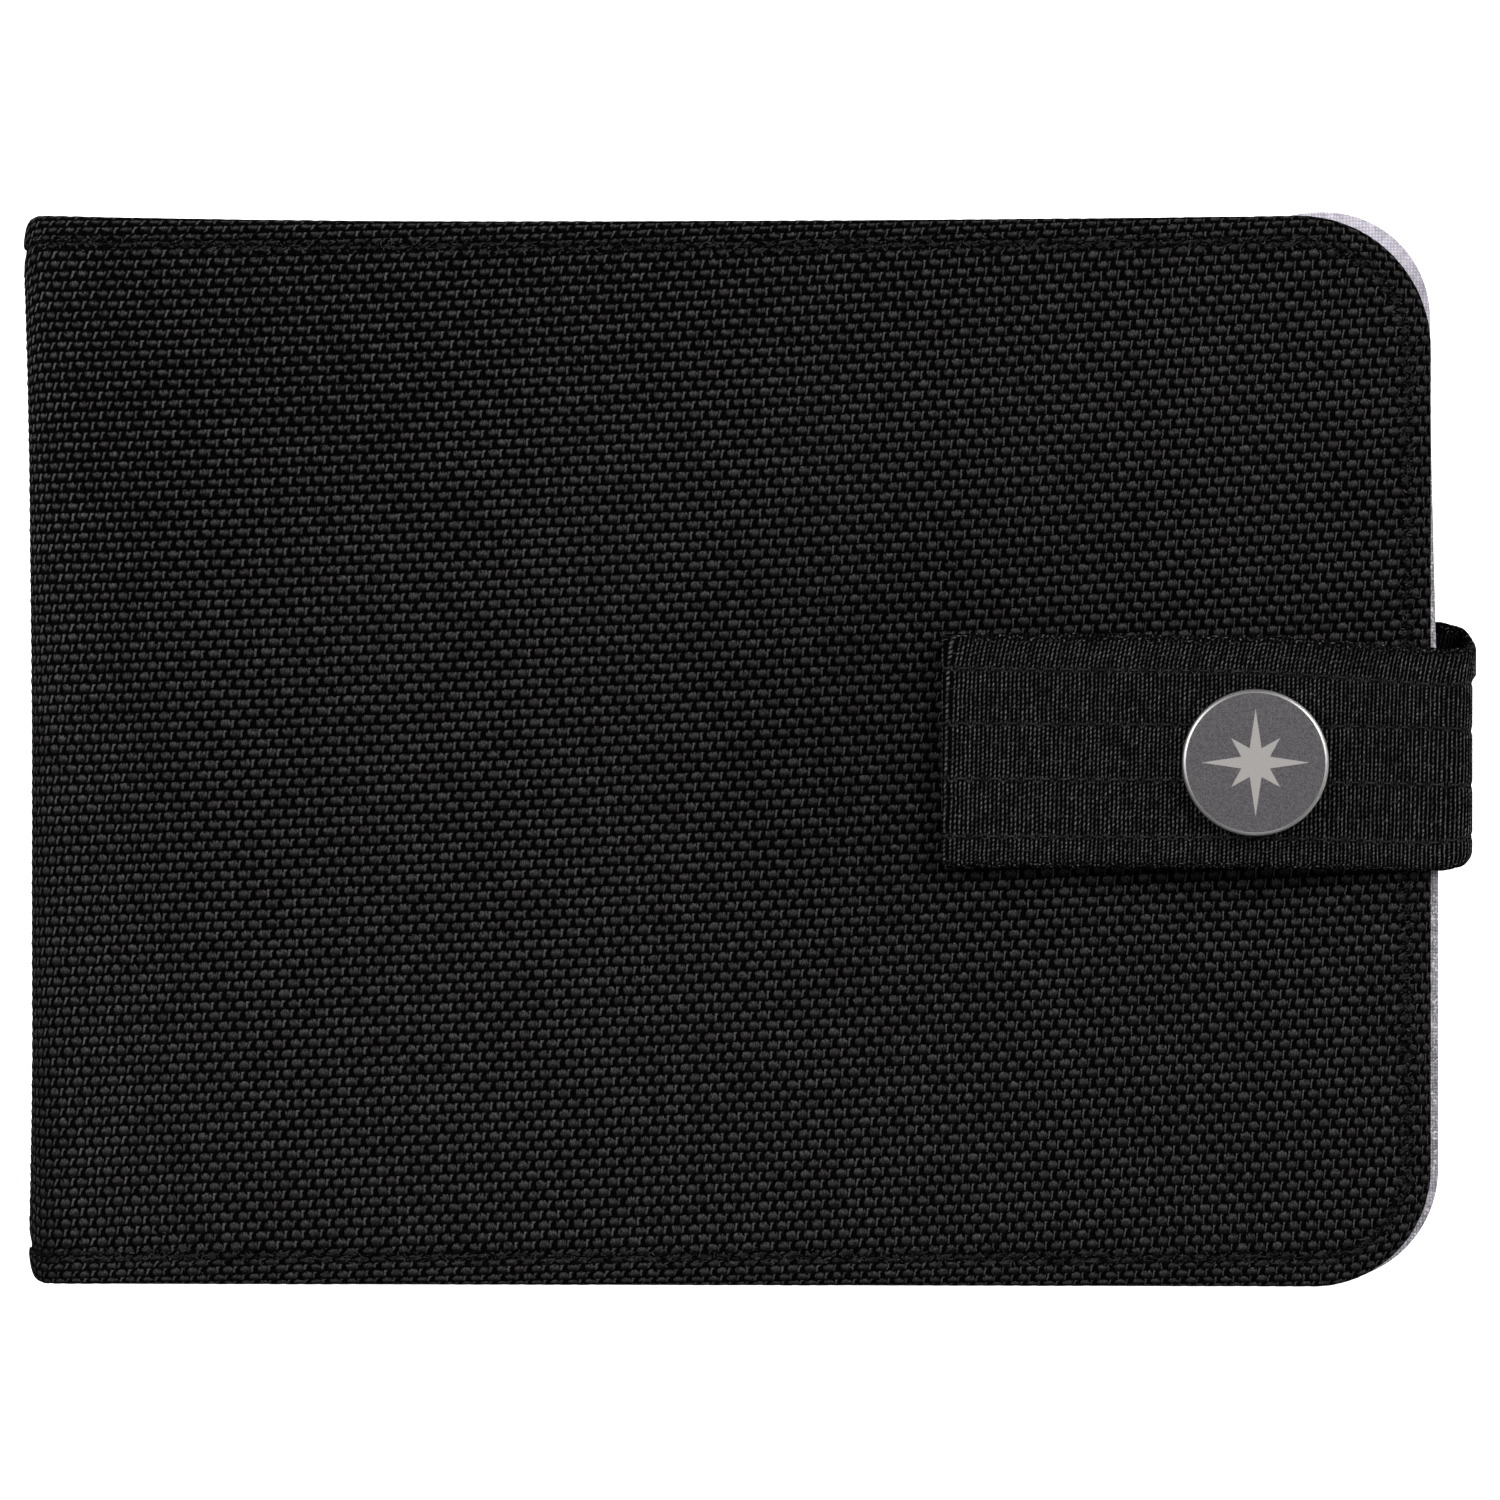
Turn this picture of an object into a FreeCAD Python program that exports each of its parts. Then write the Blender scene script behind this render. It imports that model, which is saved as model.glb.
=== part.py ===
import FreeCAD, Part
import math
import os

# Passport holder wallet, closed and lying on its back. Millimetres, +Z up.
# +X runs from the spine to the strap, +Y to the wallet's top edge, and Z = 0 is the back face.
# The origin lies under the middle of the closed wallet.

# Outline
WIDTH = 149.9  # spine's outer face to the outermost point of the strap
BACK_HEIGHT = 110.9  # back panel
COVER_HEIGHT = 110.4  # front cover, level with the back panel at the bottom edge
STRAP_REACH = 4.7  # strap loop past the cover's free edge
BACK_REACH = 0.85  # back panel past the cover's free edge
SPINE_RADIUS = 5.0  # outer radius of the two folds of the spine
COVER_CORNERS = (12.3, 13.1)  # bottom and top corner at the cover's free edge
BACK_CORNERS = (12.1, 11.0)
FOLD_SLIT = 0.5  # between a panel's shell and the spine's shell

# Layers
SHELL = 0.9  # ballistic nylon with its backing
CORE = 1.0  # stiffener board, as thick as the webbing
LINING = 0.4
RIM = 2.0  # the shell's turned edge, which closes the panel round the stiffener
PASSPORT_ROOM = 4.6
SLEEVE = 0.5  # passport sleeve's front sheet
SLEEVE_WALL = 0.8
SHEET = 0.35  # card and note pocket sheets
SLOT = 0.2  # room behind each pocket sheet
BINDING = 0.15  # tape folded over each pocket's mouth
HALVES_GAP = 0.4  # between the back half's and the cover half's nearest pieces

# Pockets
SLEEVE_X = (-60.0, 68.2)
SLEEVE_HALF_HEIGHT = 47.4
SLEEVE_CORNER = 2.0
SLEEVE_ROUNDING = 0.9
SEAM = 1.2  # width of the seam along a pocket sheet's closed edges
NOTE_X = (-67.0, 69.0)
NOTE_MOUTH_Y = 45.0
CARD_X = (-50.0, 46.0)
CARD_FOOT_Y = -53.4
CARD_DEPTHS = (70.4, 57.4, 44.4)  # rear, middle and front pocket
TAPE = 4.0  # how far a binding reaches onto its sheet
SLEEVE_TAPE = 5.0

# Strap
WEBBING = 1.0
STRAP_WIDTH = 24.6
STRAP_Y = -0.6  # middle of the strap's width
STRAP_LENGTH = 50.0  # from the cover's free edge to the strap's folded end
STRAP_GAP = 0.35  # strap above the cover
STRAP_CLEAR = 0.5  # back panel's edge to the start of the strap's lower turn
STRAP_SLIT = 0.4  # between the strap's bodies, at each turn
ANCHOR_LENGTH = 14.0
HEM_LENGTH = 14.5
HEM_STEP = 1.0  # end of the folded layer to the foot of the strap's slope
SLOPE_INSET = 3.0  # cover's free edge to the foot of the strap's rise to the snap
SNAP_FLAT = 7.5  # half of the strap's flat stretch over the snap
STRAP_BENDS = (8.0, 5.0, 5.0, 8.0)  # radii of the flap's bends, from the turn to the folded end

# Snap fastener
SNAP_INSET = 18.2  # snap centre to the cover's free edge
SNAP_Y = -1.4
CAP_RADIUS = 7.6
CAP_HEIGHT = 1.7
CAP_BARREL = 2.0
SOCKET_RADIUS = 6.2
SOCKET_HEIGHT = 2.1
SOCKET_ROOF = 0.2
SNAP_GAP = 0.3  # round the stud, and between its flange and the socket
STUD_FLANGE_RADIUS = 5.6
STUD_FLANGE = 0.5
STUD_RADIUS = 3.0
STUD_NECK = 2.7
STUD_HEIGHT = 2.4
POST_RADIUS = 1.6
POST_FLANGE_RADIUS = 5.0
POST_FLANGE = 0.5

# Levels, from the back face up
Z_CORE = SHELL
Z_LINING = Z_CORE + CORE
Z_ROOM = Z_LINING + LINING
Z_SLEEVE = Z_ROOM + PASSPORT_ROOM
Z_SLEEVE_TOP = Z_SLEEVE + SLEEVE
Z_FRONT_CARD = Z_SLEEVE_TOP + BINDING + HALVES_GAP + BINDING
Z_NOTE = Z_FRONT_CARD + len(CARD_DEPTHS) * (SHEET + SLOT)
Z_COVER_LINING = Z_NOTE + SHEET + SLOT
Z_COVER_CORE = Z_COVER_LINING + LINING
Z_COVER_SHELL = Z_COVER_CORE + CORE
Z_TOP = Z_COVER_SHELL + SHELL
Z_STRAP = Z_TOP + STRAP_GAP + WEBBING / 2
Z_FOLDED = Z_STRAP + WEBBING
Z_SOCKET = Z_TOP + STUD_FLANGE + SNAP_GAP
Z_OVER_SNAP = Z_SOCKET + SOCKET_HEIGHT + WEBBING / 2
Z_CAP = Z_OVER_SNAP + WEBBING / 2

# Edges
X_SPINE = -WIDTH / 2
X_STRAP = WIDTH / 2
X_COVER = X_STRAP - STRAP_REACH
X_BACK = X_COVER + BACK_REACH
X_FOLD = X_SPINE + SPINE_RADIUS
X_PANEL = X_FOLD + FOLD_SLIT
X_TURN = X_BACK + STRAP_CLEAR
STRAP_TURN = X_STRAP - WEBBING / 2 - X_TURN
SNAP_X = X_COVER - SNAP_INSET
Y_FOOT = -BACK_HEIGHT / 2
Y_BACK = BACK_HEIGHT / 2
Y_COVER = Y_FOOT + COVER_HEIGHT


def corner(before, at, after, radius):
    """The two tangent points and the centre of the arc that rounds a corner."""
    back = (before - at).normalize()
    ahead = (after - at).normalize()
    half = back.getAngle(ahead) / 2
    reach = radius / math.tan(half)
    centre = at + (back + ahead).normalize() * (radius / math.sin(half))
    return at + back * reach, at + ahead * reach, centre


def add_line(edges, start, end):
    """Adds a straight edge, unless its two ends are one point."""
    if start.distanceToPoint(end) > 1e-6:
        edges.append(Part.LineSegment(start, end).toShape())


def parallel(points, radii, offset):
    """Edges, first point and last point of a rounded path's parallel curve in the XZ plane."""
    left = FreeCAD.Rotation(FreeCAD.Vector(0, 1, 0), -90)
    first = points[0] + left.multVec((points[1] - points[0]).normalize()) * offset
    edges = []
    here = first
    for before, at, after, radius in zip(points, points[1:], points[2:], radii):
        start, end, centre = corner(before, at, after, radius)
        turn = (at - before).cross(after - at).y
        reach = radius + offset * math.copysign(1, turn)
        start = centre + (start - centre).normalize() * reach
        middle = centre + (at - centre).normalize() * reach
        end = centre + (end - centre).normalize() * reach
        add_line(edges, here, start)
        edges.append(Part.Arc(start, middle, end).toShape())
        here = end
    last = points[-1] + left.multVec((points[-1] - points[-2]).normalize()) * offset
    add_line(edges, here, last)
    return edges, first, last


def band(path, radii, thickness, y0, y1):
    """A strip of cloth or webbing that follows a rounded path of (x, z) points at its mid-thickness."""
    points = [FreeCAD.Vector(x, y0, z) for x, z in path]
    near, near_first, near_last = parallel(points, radii, thickness / 2)
    far, far_first, far_last = parallel(points, radii, -thickness / 2)
    edges = near + far
    add_line(edges, near_first, far_first)
    add_line(edges, near_last, far_last)
    wire = Part.Wire(Part.__sortEdges__(edges))
    return Part.Face(wire).extrude(FreeCAD.Vector(0, y1 - y0, 0))


def panel(x0, x1, y0, y1, z0, z1, corners=(0, 0)):
    """A flat sheet with its bottom and top corner rounded at the edge x1."""
    low, high = corners
    foot = FreeCAD.Vector(x1, y0, z0)
    head = FreeCAD.Vector(x1, y1, z0)
    start = FreeCAD.Vector(x0, y0, z0)
    end = FreeCAD.Vector(x0, y1, z0)
    edges = []
    here = start
    for before, at, after, radius in ((start, foot, head, low), (foot, head, end, high)):
        if radius == 0:
            add_line(edges, here, at)
            here = at
            continue
        first, last, centre = corner(before, at, after, radius)
        add_line(edges, here, first)
        middle = centre + (at - centre).normalize() * radius
        edges.append(Part.Arc(first, middle, last).toShape())
        here = last
    add_line(edges, here, end)
    add_line(edges, end, start)
    return Part.Face(Part.Wire(edges)).extrude(FreeCAD.Vector(0, 0, z1 - z0))


def inset(corners, amount):
    """Corner radii of an outline moved inwards."""
    return tuple(radius - amount for radius in corners)


def disc(radius, z0, z1):
    """A cylinder on the snap fastener's axis."""
    return Part.makeCylinder(radius, z1 - z0, FreeCAD.Vector(SNAP_X, SNAP_Y, z0))


def turned(profile):
    """A solid turned about the snap fastener's axis from (radius, z) points."""
    points = [FreeCAD.Vector(SNAP_X + r, SNAP_Y, z) for r, z in profile]
    face = Part.Face(Part.makePolygon(points + points[:1]))
    return face.revolve(FreeCAD.Vector(SNAP_X, SNAP_Y, 0), FreeCAD.Vector(0, 0, 1), 360)


def core_shape(right, top, z0, corners):
    """A panel's stiffener board, inside the shell's turned edge."""
    return panel(X_PANEL, right - RIM, Y_FOOT + RIM, top - RIM, z0, z0 + CORE, inset(corners, RIM))


def anchor_shape():
    """The sewn-in end of the strap, reaching inwards from the start of the lower turn."""
    end = X_TURN - STRAP_SLIT
    y0 = STRAP_Y - STRAP_WIDTH / 2
    return panel(end - ANCHOR_LENGTH, end, y0, y0 + STRAP_WIDTH, Z_CORE, Z_LINING)


def back_half():
    """Back panel, passport sleeve and the strap's sewn end."""
    tray = panel(X_PANEL, X_BACK, Y_FOOT, Y_BACK, 0, Z_LINING, BACK_CORNERS)
    core = core_shape(X_BACK, Y_BACK, Z_CORE, BACK_CORNERS)
    anchor = anchor_shape()
    lining = panel(X_PANEL, X_BACK, Y_FOOT, Y_BACK, Z_LINING, Z_ROOM, BACK_CORNERS)
    return {
        "back_shell": tray.cut(core).cut(anchor),
        "back_stiffener": core.cut(anchor),
        "back_lining": lining,
        "strap_anchor": anchor,
        "passport_sleeve": sleeve_shape(),
        "passport_sleeve_binding": sleeve_binding(),
    }


def sleeve_shape():
    """The passport sleeve: a front sheet whose three sewn sides come down to the back lining."""
    x0, x1 = SLEEVE_X
    y = SLEEVE_HALF_HEIGHT
    outer = panel(x0, x1, -y, y, Z_ROOM, Z_SLEEVE_TOP, (SLEEVE_CORNER, SLEEVE_CORNER))
    rounded = [edge for edge in outer.Edges if is_sewn_top_edge(edge)]
    outer = outer.makeFillet(SLEEVE_ROUNDING, rounded)
    y -= SLEEVE_WALL
    corners = inset((SLEEVE_CORNER, SLEEVE_CORNER), SLEEVE_WALL)
    return outer.cut(panel(x0, x1 - SLEEVE_WALL, -y, y, Z_ROOM, Z_SLEEVE, corners))


def is_sewn_top_edge(edge):
    """True for the sleeve's upper edges, apart from its mouth."""
    box = edge.BoundBox
    return box.ZMin > Z_SLEEVE_TOP - 0.01 and box.XMax > SLEEVE_X[0] + 0.01


def sleeve_binding():
    """Tape folded over the mouth of the passport sleeve."""
    x0 = SLEEVE_X[0]
    y = SLEEVE_HALF_HEIGHT - SLEEVE_WALL - SLEEVE_ROUNDING
    tape = panel(x0 - BINDING, x0 + SLEEVE_TAPE, -y, y, Z_SLEEVE - BINDING, Z_SLEEVE_TOP + BINDING)
    return tape.cut(panel(x0, x0 + SLEEVE_TAPE, -y, y, Z_SLEEVE, Z_SLEEVE_TOP))


def spine():
    """The spine's cloth and lining, each folded at the back and at the cover."""
    wall = X_SPINE + SHELL / 2
    path = [(X_FOLD, SHELL / 2), (wall, SHELL / 2), (wall, Z_TOP - SHELL / 2), (X_FOLD, Z_TOP - SHELL / 2)]
    radii = [SPINE_RADIUS - SHELL / 2] * 2
    depth = SHELL + LINING / 2
    wall = X_SPINE + depth
    inner = [(X_FOLD, depth), (wall, depth), (wall, Z_TOP - depth), (X_FOLD, Z_TOP - depth)]
    inner_radii = [SPINE_RADIUS - depth] * 2
    return {
        "spine_shell": band(path, radii, SHELL, Y_FOOT, Y_COVER),
        "spine_lining": band(inner, inner_radii, LINING, Y_FOOT + RIM, Y_COVER - RIM),
    }


def cover_half():
    """Front cover, its pockets and the snap's stud."""
    tray = panel(X_PANEL, X_COVER, Y_FOOT, Y_COVER, Z_COVER_CORE, Z_TOP, COVER_CORNERS)
    core = core_shape(X_COVER, Y_COVER, Z_COVER_CORE, COVER_CORNERS)
    post = disc(POST_FLANGE_RADIUS, Z_COVER_CORE, Z_COVER_CORE + POST_FLANGE)
    post = post.fuse(disc(POST_RADIUS, Z_COVER_CORE, Z_TOP + STUD_HEIGHT - STUD_FLANGE)).removeSplitter()
    lining = panel(X_PANEL, X_COVER, Y_FOOT, Y_COVER, Z_COVER_LINING, Z_COVER_CORE, COVER_CORNERS)
    parts = {
        "cover_shell": tray.cut(core).cut(post),
        "cover_stiffener": core.cut(post),
        "cover_lining": lining,
        "snap_post": post,
        "snap_stud": stud_shape().cut(post),
    }
    parts.update(note_pocket())
    for number, depth in enumerate(CARD_DEPTHS, 1):
        parts.update(card_pocket(number, depth))
    return parts


def pocket_sheet(x0, x1, y0, y1, z, corners=(0, 0)):
    """A sheet open along y1, its three other edges sewn up to the layer behind it, which is above it."""
    sheet = panel(x0, x1, y0, y1, z, z + SHEET + SLOT, corners)
    room = panel(x0 + SEAM, x1 - SEAM, y0 + SEAM, y1, z + SHEET, z + SHEET + SLOT, inset_low(corners))
    return sheet.cut(room)


def inset_low(corners):
    """Inner corner radii of a pocket sheet's seam."""
    return tuple(max(radius - SEAM, 0) for radius in corners)


def mouth_binding(x0, x1, y, z):
    """Tape folded over a pocket sheet's upper edge, between its two side seams."""
    tape = panel(x0 + SEAM, x1 - SEAM, y - TAPE, y + BINDING, z - BINDING, z + SHEET + BINDING)
    return tape.cut(panel(x0, x1, y - TAPE, y, z, z + SHEET))


def note_pocket():
    """The full-width pocket for banknotes and papers, behind the card pockets."""
    x0, x1 = NOTE_X
    foot = Y_FOOT + SEAM
    corners = (COVER_CORNERS[0] - SEAM, 0)
    return {
        "note_pocket": pocket_sheet(x0, x1, foot, NOTE_MOUTH_Y, Z_NOTE, corners),
        "note_pocket_binding": mouth_binding(x0, x1, NOTE_MOUTH_Y, Z_NOTE),
    }


def card_pocket(number, depth):
    """One of the stepped card pockets, 1 at the rear, with the binding on its mouth."""
    x0, x1 = CARD_X
    mouth = CARD_FOOT_Y + depth
    z = Z_NOTE - number * (SHEET + SLOT)
    return {
        "card_pocket_%d" % number: pocket_sheet(x0, x1, CARD_FOOT_Y, mouth, z),
        "card_pocket_%d_binding" % number: mouth_binding(x0, x1, mouth, z),
    }


def stud_shape():
    """The snap's male half on the cover: flange, neck and bulbous head."""
    top = Z_TOP + STUD_HEIGHT
    neck = Z_TOP + STUD_FLANGE
    return turned([
        (0, Z_TOP),
        (STUD_FLANGE_RADIUS, Z_TOP),
        (STUD_FLANGE_RADIUS - 0.3, neck),
        (STUD_NECK, neck),
        (STUD_NECK, neck + 0.5),
        (STUD_RADIUS, neck + 1.0),
        (STUD_RADIUS, top - 0.5),
        (STUD_RADIUS - 0.5, top),
        (0, top),
    ])


def strap_wrap():
    """The strap's stretch round the free edge, with both of its turns."""
    wall = X_TURN + STRAP_TURN
    low = Z_CORE + WEBBING / 2
    path = [(X_TURN, low), (wall, low), (wall, Z_STRAP), (X_TURN, Z_STRAP)]
    y0 = STRAP_Y - STRAP_WIDTH / 2
    return {"strap_wrap": band(path, [STRAP_TURN] * 2, WEBBING, y0, y0 + STRAP_WIDTH)}


def strap_flap():
    """The strap over the cover, its folded end and the snap's female half."""
    end = X_COVER - STRAP_LENGTH
    path = [
        (X_TURN - STRAP_SLIT, Z_STRAP),
        (X_COVER - SLOPE_INSET, Z_STRAP),
        (SNAP_X + SNAP_FLAT, Z_OVER_SNAP),
        (SNAP_X - SNAP_FLAT, Z_OVER_SNAP),
        (end + HEM_LENGTH + HEM_STEP, Z_FOLDED),
        (end + WEBBING, Z_FOLDED),
    ]
    y0 = STRAP_Y - STRAP_WIDTH / 2
    strap = band(path, STRAP_BENDS, WEBBING, y0, y0 + STRAP_WIDTH)
    strap = strap.fuse(folded_end(end, y0)).removeSplitter()
    hole = disc(CAP_BARREL, Z_SOCKET, Z_CAP)
    return {"strap_flap": strap.cut(hole), "snap_cap": cap_shape(), "snap_socket": socket_shape()}


def folded_end(end, y0):
    """The strap's end, turned under itself and sewn down, with the round fold at its tip."""
    low = Z_STRAP - WEBBING / 2
    hem = panel(end + WEBBING, end + HEM_LENGTH, y0, y0 + STRAP_WIDTH, low, low + WEBBING)
    foot = FreeCAD.Vector(end + WEBBING, y0, low + WEBBING)
    tip = Part.makeCylinder(WEBBING, STRAP_WIDTH, foot, FreeCAD.Vector(0, 1, 0))
    return hem.fuse(tip)


def cap_shape():
    """The snap's round cap on the outside of the strap, with its barrel through the strap."""
    roof = Z_SOCKET + SOCKET_HEIGHT - SOCKET_ROOF
    top = Z_CAP + CAP_HEIGHT
    rim = CAP_RADIUS
    return turned([
        (0, roof),
        (CAP_BARREL, roof),
        (CAP_BARREL, Z_CAP),
        (rim - 0.5, Z_CAP),
        (rim - 0.1, Z_CAP + 0.3),
        (rim, Z_CAP + 0.7),
        (rim - 0.1, Z_CAP + 1.1),
        (rim - 0.45, top - 0.2),
        (rim - 1.0, top),
        (0, top),
    ])


def socket_shape():
    """The snap's female half under the strap, a ring that closes round the stud."""
    body = disc(SOCKET_RADIUS, Z_SOCKET, Z_SOCKET + SOCKET_HEIGHT)
    body = body.makeChamfer(0.4, [edge for edge in body.Edges if edge.BoundBox.ZMax < Z_SOCKET + 0.01])
    roof = Z_SOCKET + SOCKET_HEIGHT - SOCKET_ROOF
    body = body.cut(disc(STUD_RADIUS + SNAP_GAP, Z_SOCKET, roof))
    return body.cut(disc(CAP_BARREL, roof, Z_SOCKET + SOCKET_HEIGHT))


os.makedirs("parts", exist_ok=True)
for group in (back_half(), spine(), cover_half(), strap_wrap(), strap_flap()):
    for name, shape in group.items():
        shape.exportStep("parts/%s.step" % name)
        box = shape.BoundBox
        print(
            "%-26s solids %d valid %s volume %9.2f  x %7.2f %7.2f  y %7.2f %7.2f  z %6.2f %6.2f"
            % (
                name,
                len(shape.Solids),
                shape.isValid(),
                shape.Volume,
                box.XMin,
                box.XMax,
                box.YMin,
                box.YMax,
                box.ZMin,
                box.ZMax,
            )
        )
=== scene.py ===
import itertools
import math

import bpy
import numpy as np
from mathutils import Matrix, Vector


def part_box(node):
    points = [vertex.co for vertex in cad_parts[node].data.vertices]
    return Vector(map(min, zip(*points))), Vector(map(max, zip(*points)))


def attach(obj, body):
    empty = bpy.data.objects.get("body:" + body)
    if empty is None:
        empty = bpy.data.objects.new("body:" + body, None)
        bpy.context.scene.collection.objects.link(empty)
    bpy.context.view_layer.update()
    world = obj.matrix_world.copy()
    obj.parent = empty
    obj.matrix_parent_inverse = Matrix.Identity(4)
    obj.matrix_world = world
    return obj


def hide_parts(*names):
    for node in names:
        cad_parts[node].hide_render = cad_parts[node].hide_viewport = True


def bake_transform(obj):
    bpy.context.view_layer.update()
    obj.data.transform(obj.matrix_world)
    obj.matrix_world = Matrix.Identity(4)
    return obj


# Looks of the passport holder wallet. Lengths are millimetres here, and metres once a mesh is made.
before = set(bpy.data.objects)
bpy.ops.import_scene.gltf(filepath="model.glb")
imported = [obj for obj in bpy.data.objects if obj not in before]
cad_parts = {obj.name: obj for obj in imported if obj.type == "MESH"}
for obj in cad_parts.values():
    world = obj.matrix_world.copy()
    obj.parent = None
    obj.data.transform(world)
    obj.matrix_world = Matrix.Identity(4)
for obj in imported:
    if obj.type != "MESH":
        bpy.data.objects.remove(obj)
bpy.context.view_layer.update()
random = np.random.default_rng(20)
MM = 0.001


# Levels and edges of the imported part
def box(node):
    """Lowest and highest corner of a CAD node, in millimetres."""
    low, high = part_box(node)
    return np.array(low) / MM, np.array(high) / MM


Z_TOP = box("cover_shell")[1][2]
Z_MIDDLE = Z_TOP / 2
COVER_FACE = box("cover_lining")[0][2]  # the inner faces of the two linings
BACK_FACE = box("back_lining")[1][2]
SPINE_LOW, SPINE_HIGH = box("spine_shell")
X_SPINE = SPINE_LOW[0]
X_FOLD = SPINE_HIGH[0]
SPINE_RADIUS = X_FOLD - X_SPINE
SPINE_END = 2.2  # radius of the closed wallet's corners at the spine
SPINE_BOW = (-0.24, 0.27, 0.62)  # level, tilt and curve of the spine's line for each 50 mm from its middle
U_MIDDLE = X_FOLD - SPINE_RADIUS * math.pi / 2 - (Z_MIDDLE - SPINE_RADIUS)  # the spine's middle, laid flat
CAP_LOW, CAP_HIGH = box("snap_cap")
SNAP = (CAP_LOW + CAP_HIGH) / 2
CAP_RADIUS = (CAP_HIGH[0] - CAP_LOW[0]) / 2

# Ballistic weave
FLOAT_PITCH = 1.827  # along a row
ROW_PITCH = 1.041
ROW_CLIMB = math.radians(2.35)  # rows climb to the right
COLUMN_LEAN = math.radians(3.0)
SAMPLES = {1: (6, 3), -1: (4, 3)}  # mesh lines for each float and row, on the cover and on the back
WIDE_YARN = (0.29, 0.36)  # middle and half width, as shares of the float pitch
THIN_YARN = (0.62, 0.12)
WEAVE_DEPTH = 0.13
HEM_UNDER = 1.2  # how far the cloth reaches under its turned edge
EDGE_CROWDING = 0.5  # how much closer the yarns lie between the seam and the edge
EDGE_WIDTH = 1.9  # plan width of the rounded edge
EDGE_HEIGHT = 0.9  # half the panel's thickness
EDGE_ARC = (EDGE_WIDTH + EDGE_HEIGHT) / 2  # cloth taken by each radian of the rounded edge

# Outlines: right, bottom, top, bottom corner and top corner
COVER_OUTLINE = (70.42, -55.6, 54.95, 12.3, 14.0)
BACK_OUTLINE = (70.85, -55.15, 54.3, 11.7, 11.0)
LINING_OUTLINE = (71.1, -55.35, 54.5, 11.7, 11.0)
SEAM_INSETS = (2.6, 3.0, 2.75)  # right, bottom, top
SEAM_WIDTH = 0.65
SEAM_DEPTH = 0.3
SEAM_START = -71.5  # the seams end in the spine
LINING_OVERLAP = 0.6  # of the two halves of the lining, in the middle of the spine


# Cloth surfaces
def ramp(value, low, high):
    """0 below low, 1 above high, and smooth between."""
    t = np.clip((value - low) / (high - low), 0, 1)
    return t * t * (3 - 2 * t)


def outline_distance(x, y, outline):
    """Distance outside a shape rounded at its two right corners, and the direction outwards."""
    right, bottom, top, low_radius, high_radius = outline
    upper = y > (bottom + top) / 2
    radius = np.where(upper, high_radius, low_radius)
    side = np.where(upper, 1.0, -1.0)
    across = x - (right - radius)
    along = np.where(upper, y - top, bottom - y) + radius
    round_part = (across > 0) & (along > 0)
    reach = np.hypot(across, along) + 1e-9
    flat = np.maximum(across, along)
    distance = np.where(round_part, reach, flat) - radius
    out_x = np.where(round_part, across / reach, np.where(across > along, 1.0, 0.0))
    out_y = np.where(round_part, along / reach, np.where(across > along, 0.0, 1.0)) * side
    return distance, out_x, out_y


def inset_outline(outline, right, bottom, top):
    """An outline moved inwards, with its corners tightened to suit."""
    x, low, high, low_radius, high_radius = outline
    low_radius = low_radius - (right + bottom) / 2
    high_radius = high_radius - (right + top) / 2
    return x - right, low + bottom, high - top, low_radius, high_radius


def turn_edge(u, v, lift, outline):
    """Turns cloth round a panel's edge. Gives x, y and the height above the panel's face."""
    start = inset_outline(outline, EDGE_WIDTH, EDGE_WIDTH, EDGE_WIDTH)
    distance, out_x, out_y = outline_distance(u, v, start)
    past = np.clip(distance, 0, math.pi * EDGE_ARC + HEM_UNDER)
    angle = np.clip(past / EDGE_ARC, 0, math.pi)
    beyond = np.maximum(past - math.pi * EDGE_ARC, 0)
    move = (EDGE_WIDTH + lift) * np.sin(angle) - beyond - np.maximum(distance, 0)
    height = -EDGE_HEIGHT * (1 - np.cos(angle)) + lift * np.cos(angle)
    return u + move * out_x, v + move * out_y, height


def bend_round_spine(x, height, side):
    """Carries a panel's surface round the spine. side is 1 for the cover and -1 for the back."""
    past = np.maximum(X_FOLD - x, 0)
    angle = np.clip(past / SPINE_RADIUS, 0, math.pi / 2)
    straight = np.maximum(past - SPINE_RADIUS * math.pi / 2, 0)
    reach = SPINE_RADIUS + height
    new_x = np.where(past > 0, X_FOLD - reach * np.sin(angle), x)
    z = Z_TOP - SPINE_RADIUS + np.where(past > 0, reach * np.cos(angle), reach) - straight
    return new_x, Z_MIDDLE + side * (z - Z_MIDDLE)


def spine_bulge(y):
    """How far the sewn spine stands out or draws in along its length."""
    level, tilt, curve = SPINE_BOW
    t = y / 50
    return level + tilt * t + curve * t * t


def round_spine_ends(x, y):
    """Draws the cloth in at the spine's two ends, which rounds the closed wallet's corners there."""
    past = np.clip((SPINE_END - (x - X_SPINE)) / SPINE_END, 0, 1)
    inset = SPINE_END * (1 - np.sqrt(1 - past * past))
    return y - np.sign(y) * inset * ramp(np.abs(y), 30, 54)


def cover_slack(x, y, z):
    """The cover's edges aren't quite straight: the top one sags and the bottom one leans a little."""
    share = np.clip((y + 55) / 110, 0, 1)
    from_sag = x + 27
    top = 2.8e-4 * np.minimum(from_sag, 0) ** 2 + 8.2e-5 * np.maximum(from_sag, 0) ** 2 - 0.18
    bottom = -0.0022 * x - 0.035
    y = round_spine_ends(x, y + share * top + (1 - share) * bottom)
    x = x - spine_bulge(y) * ramp(-x, 58, 72)
    return x, y, z


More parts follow.
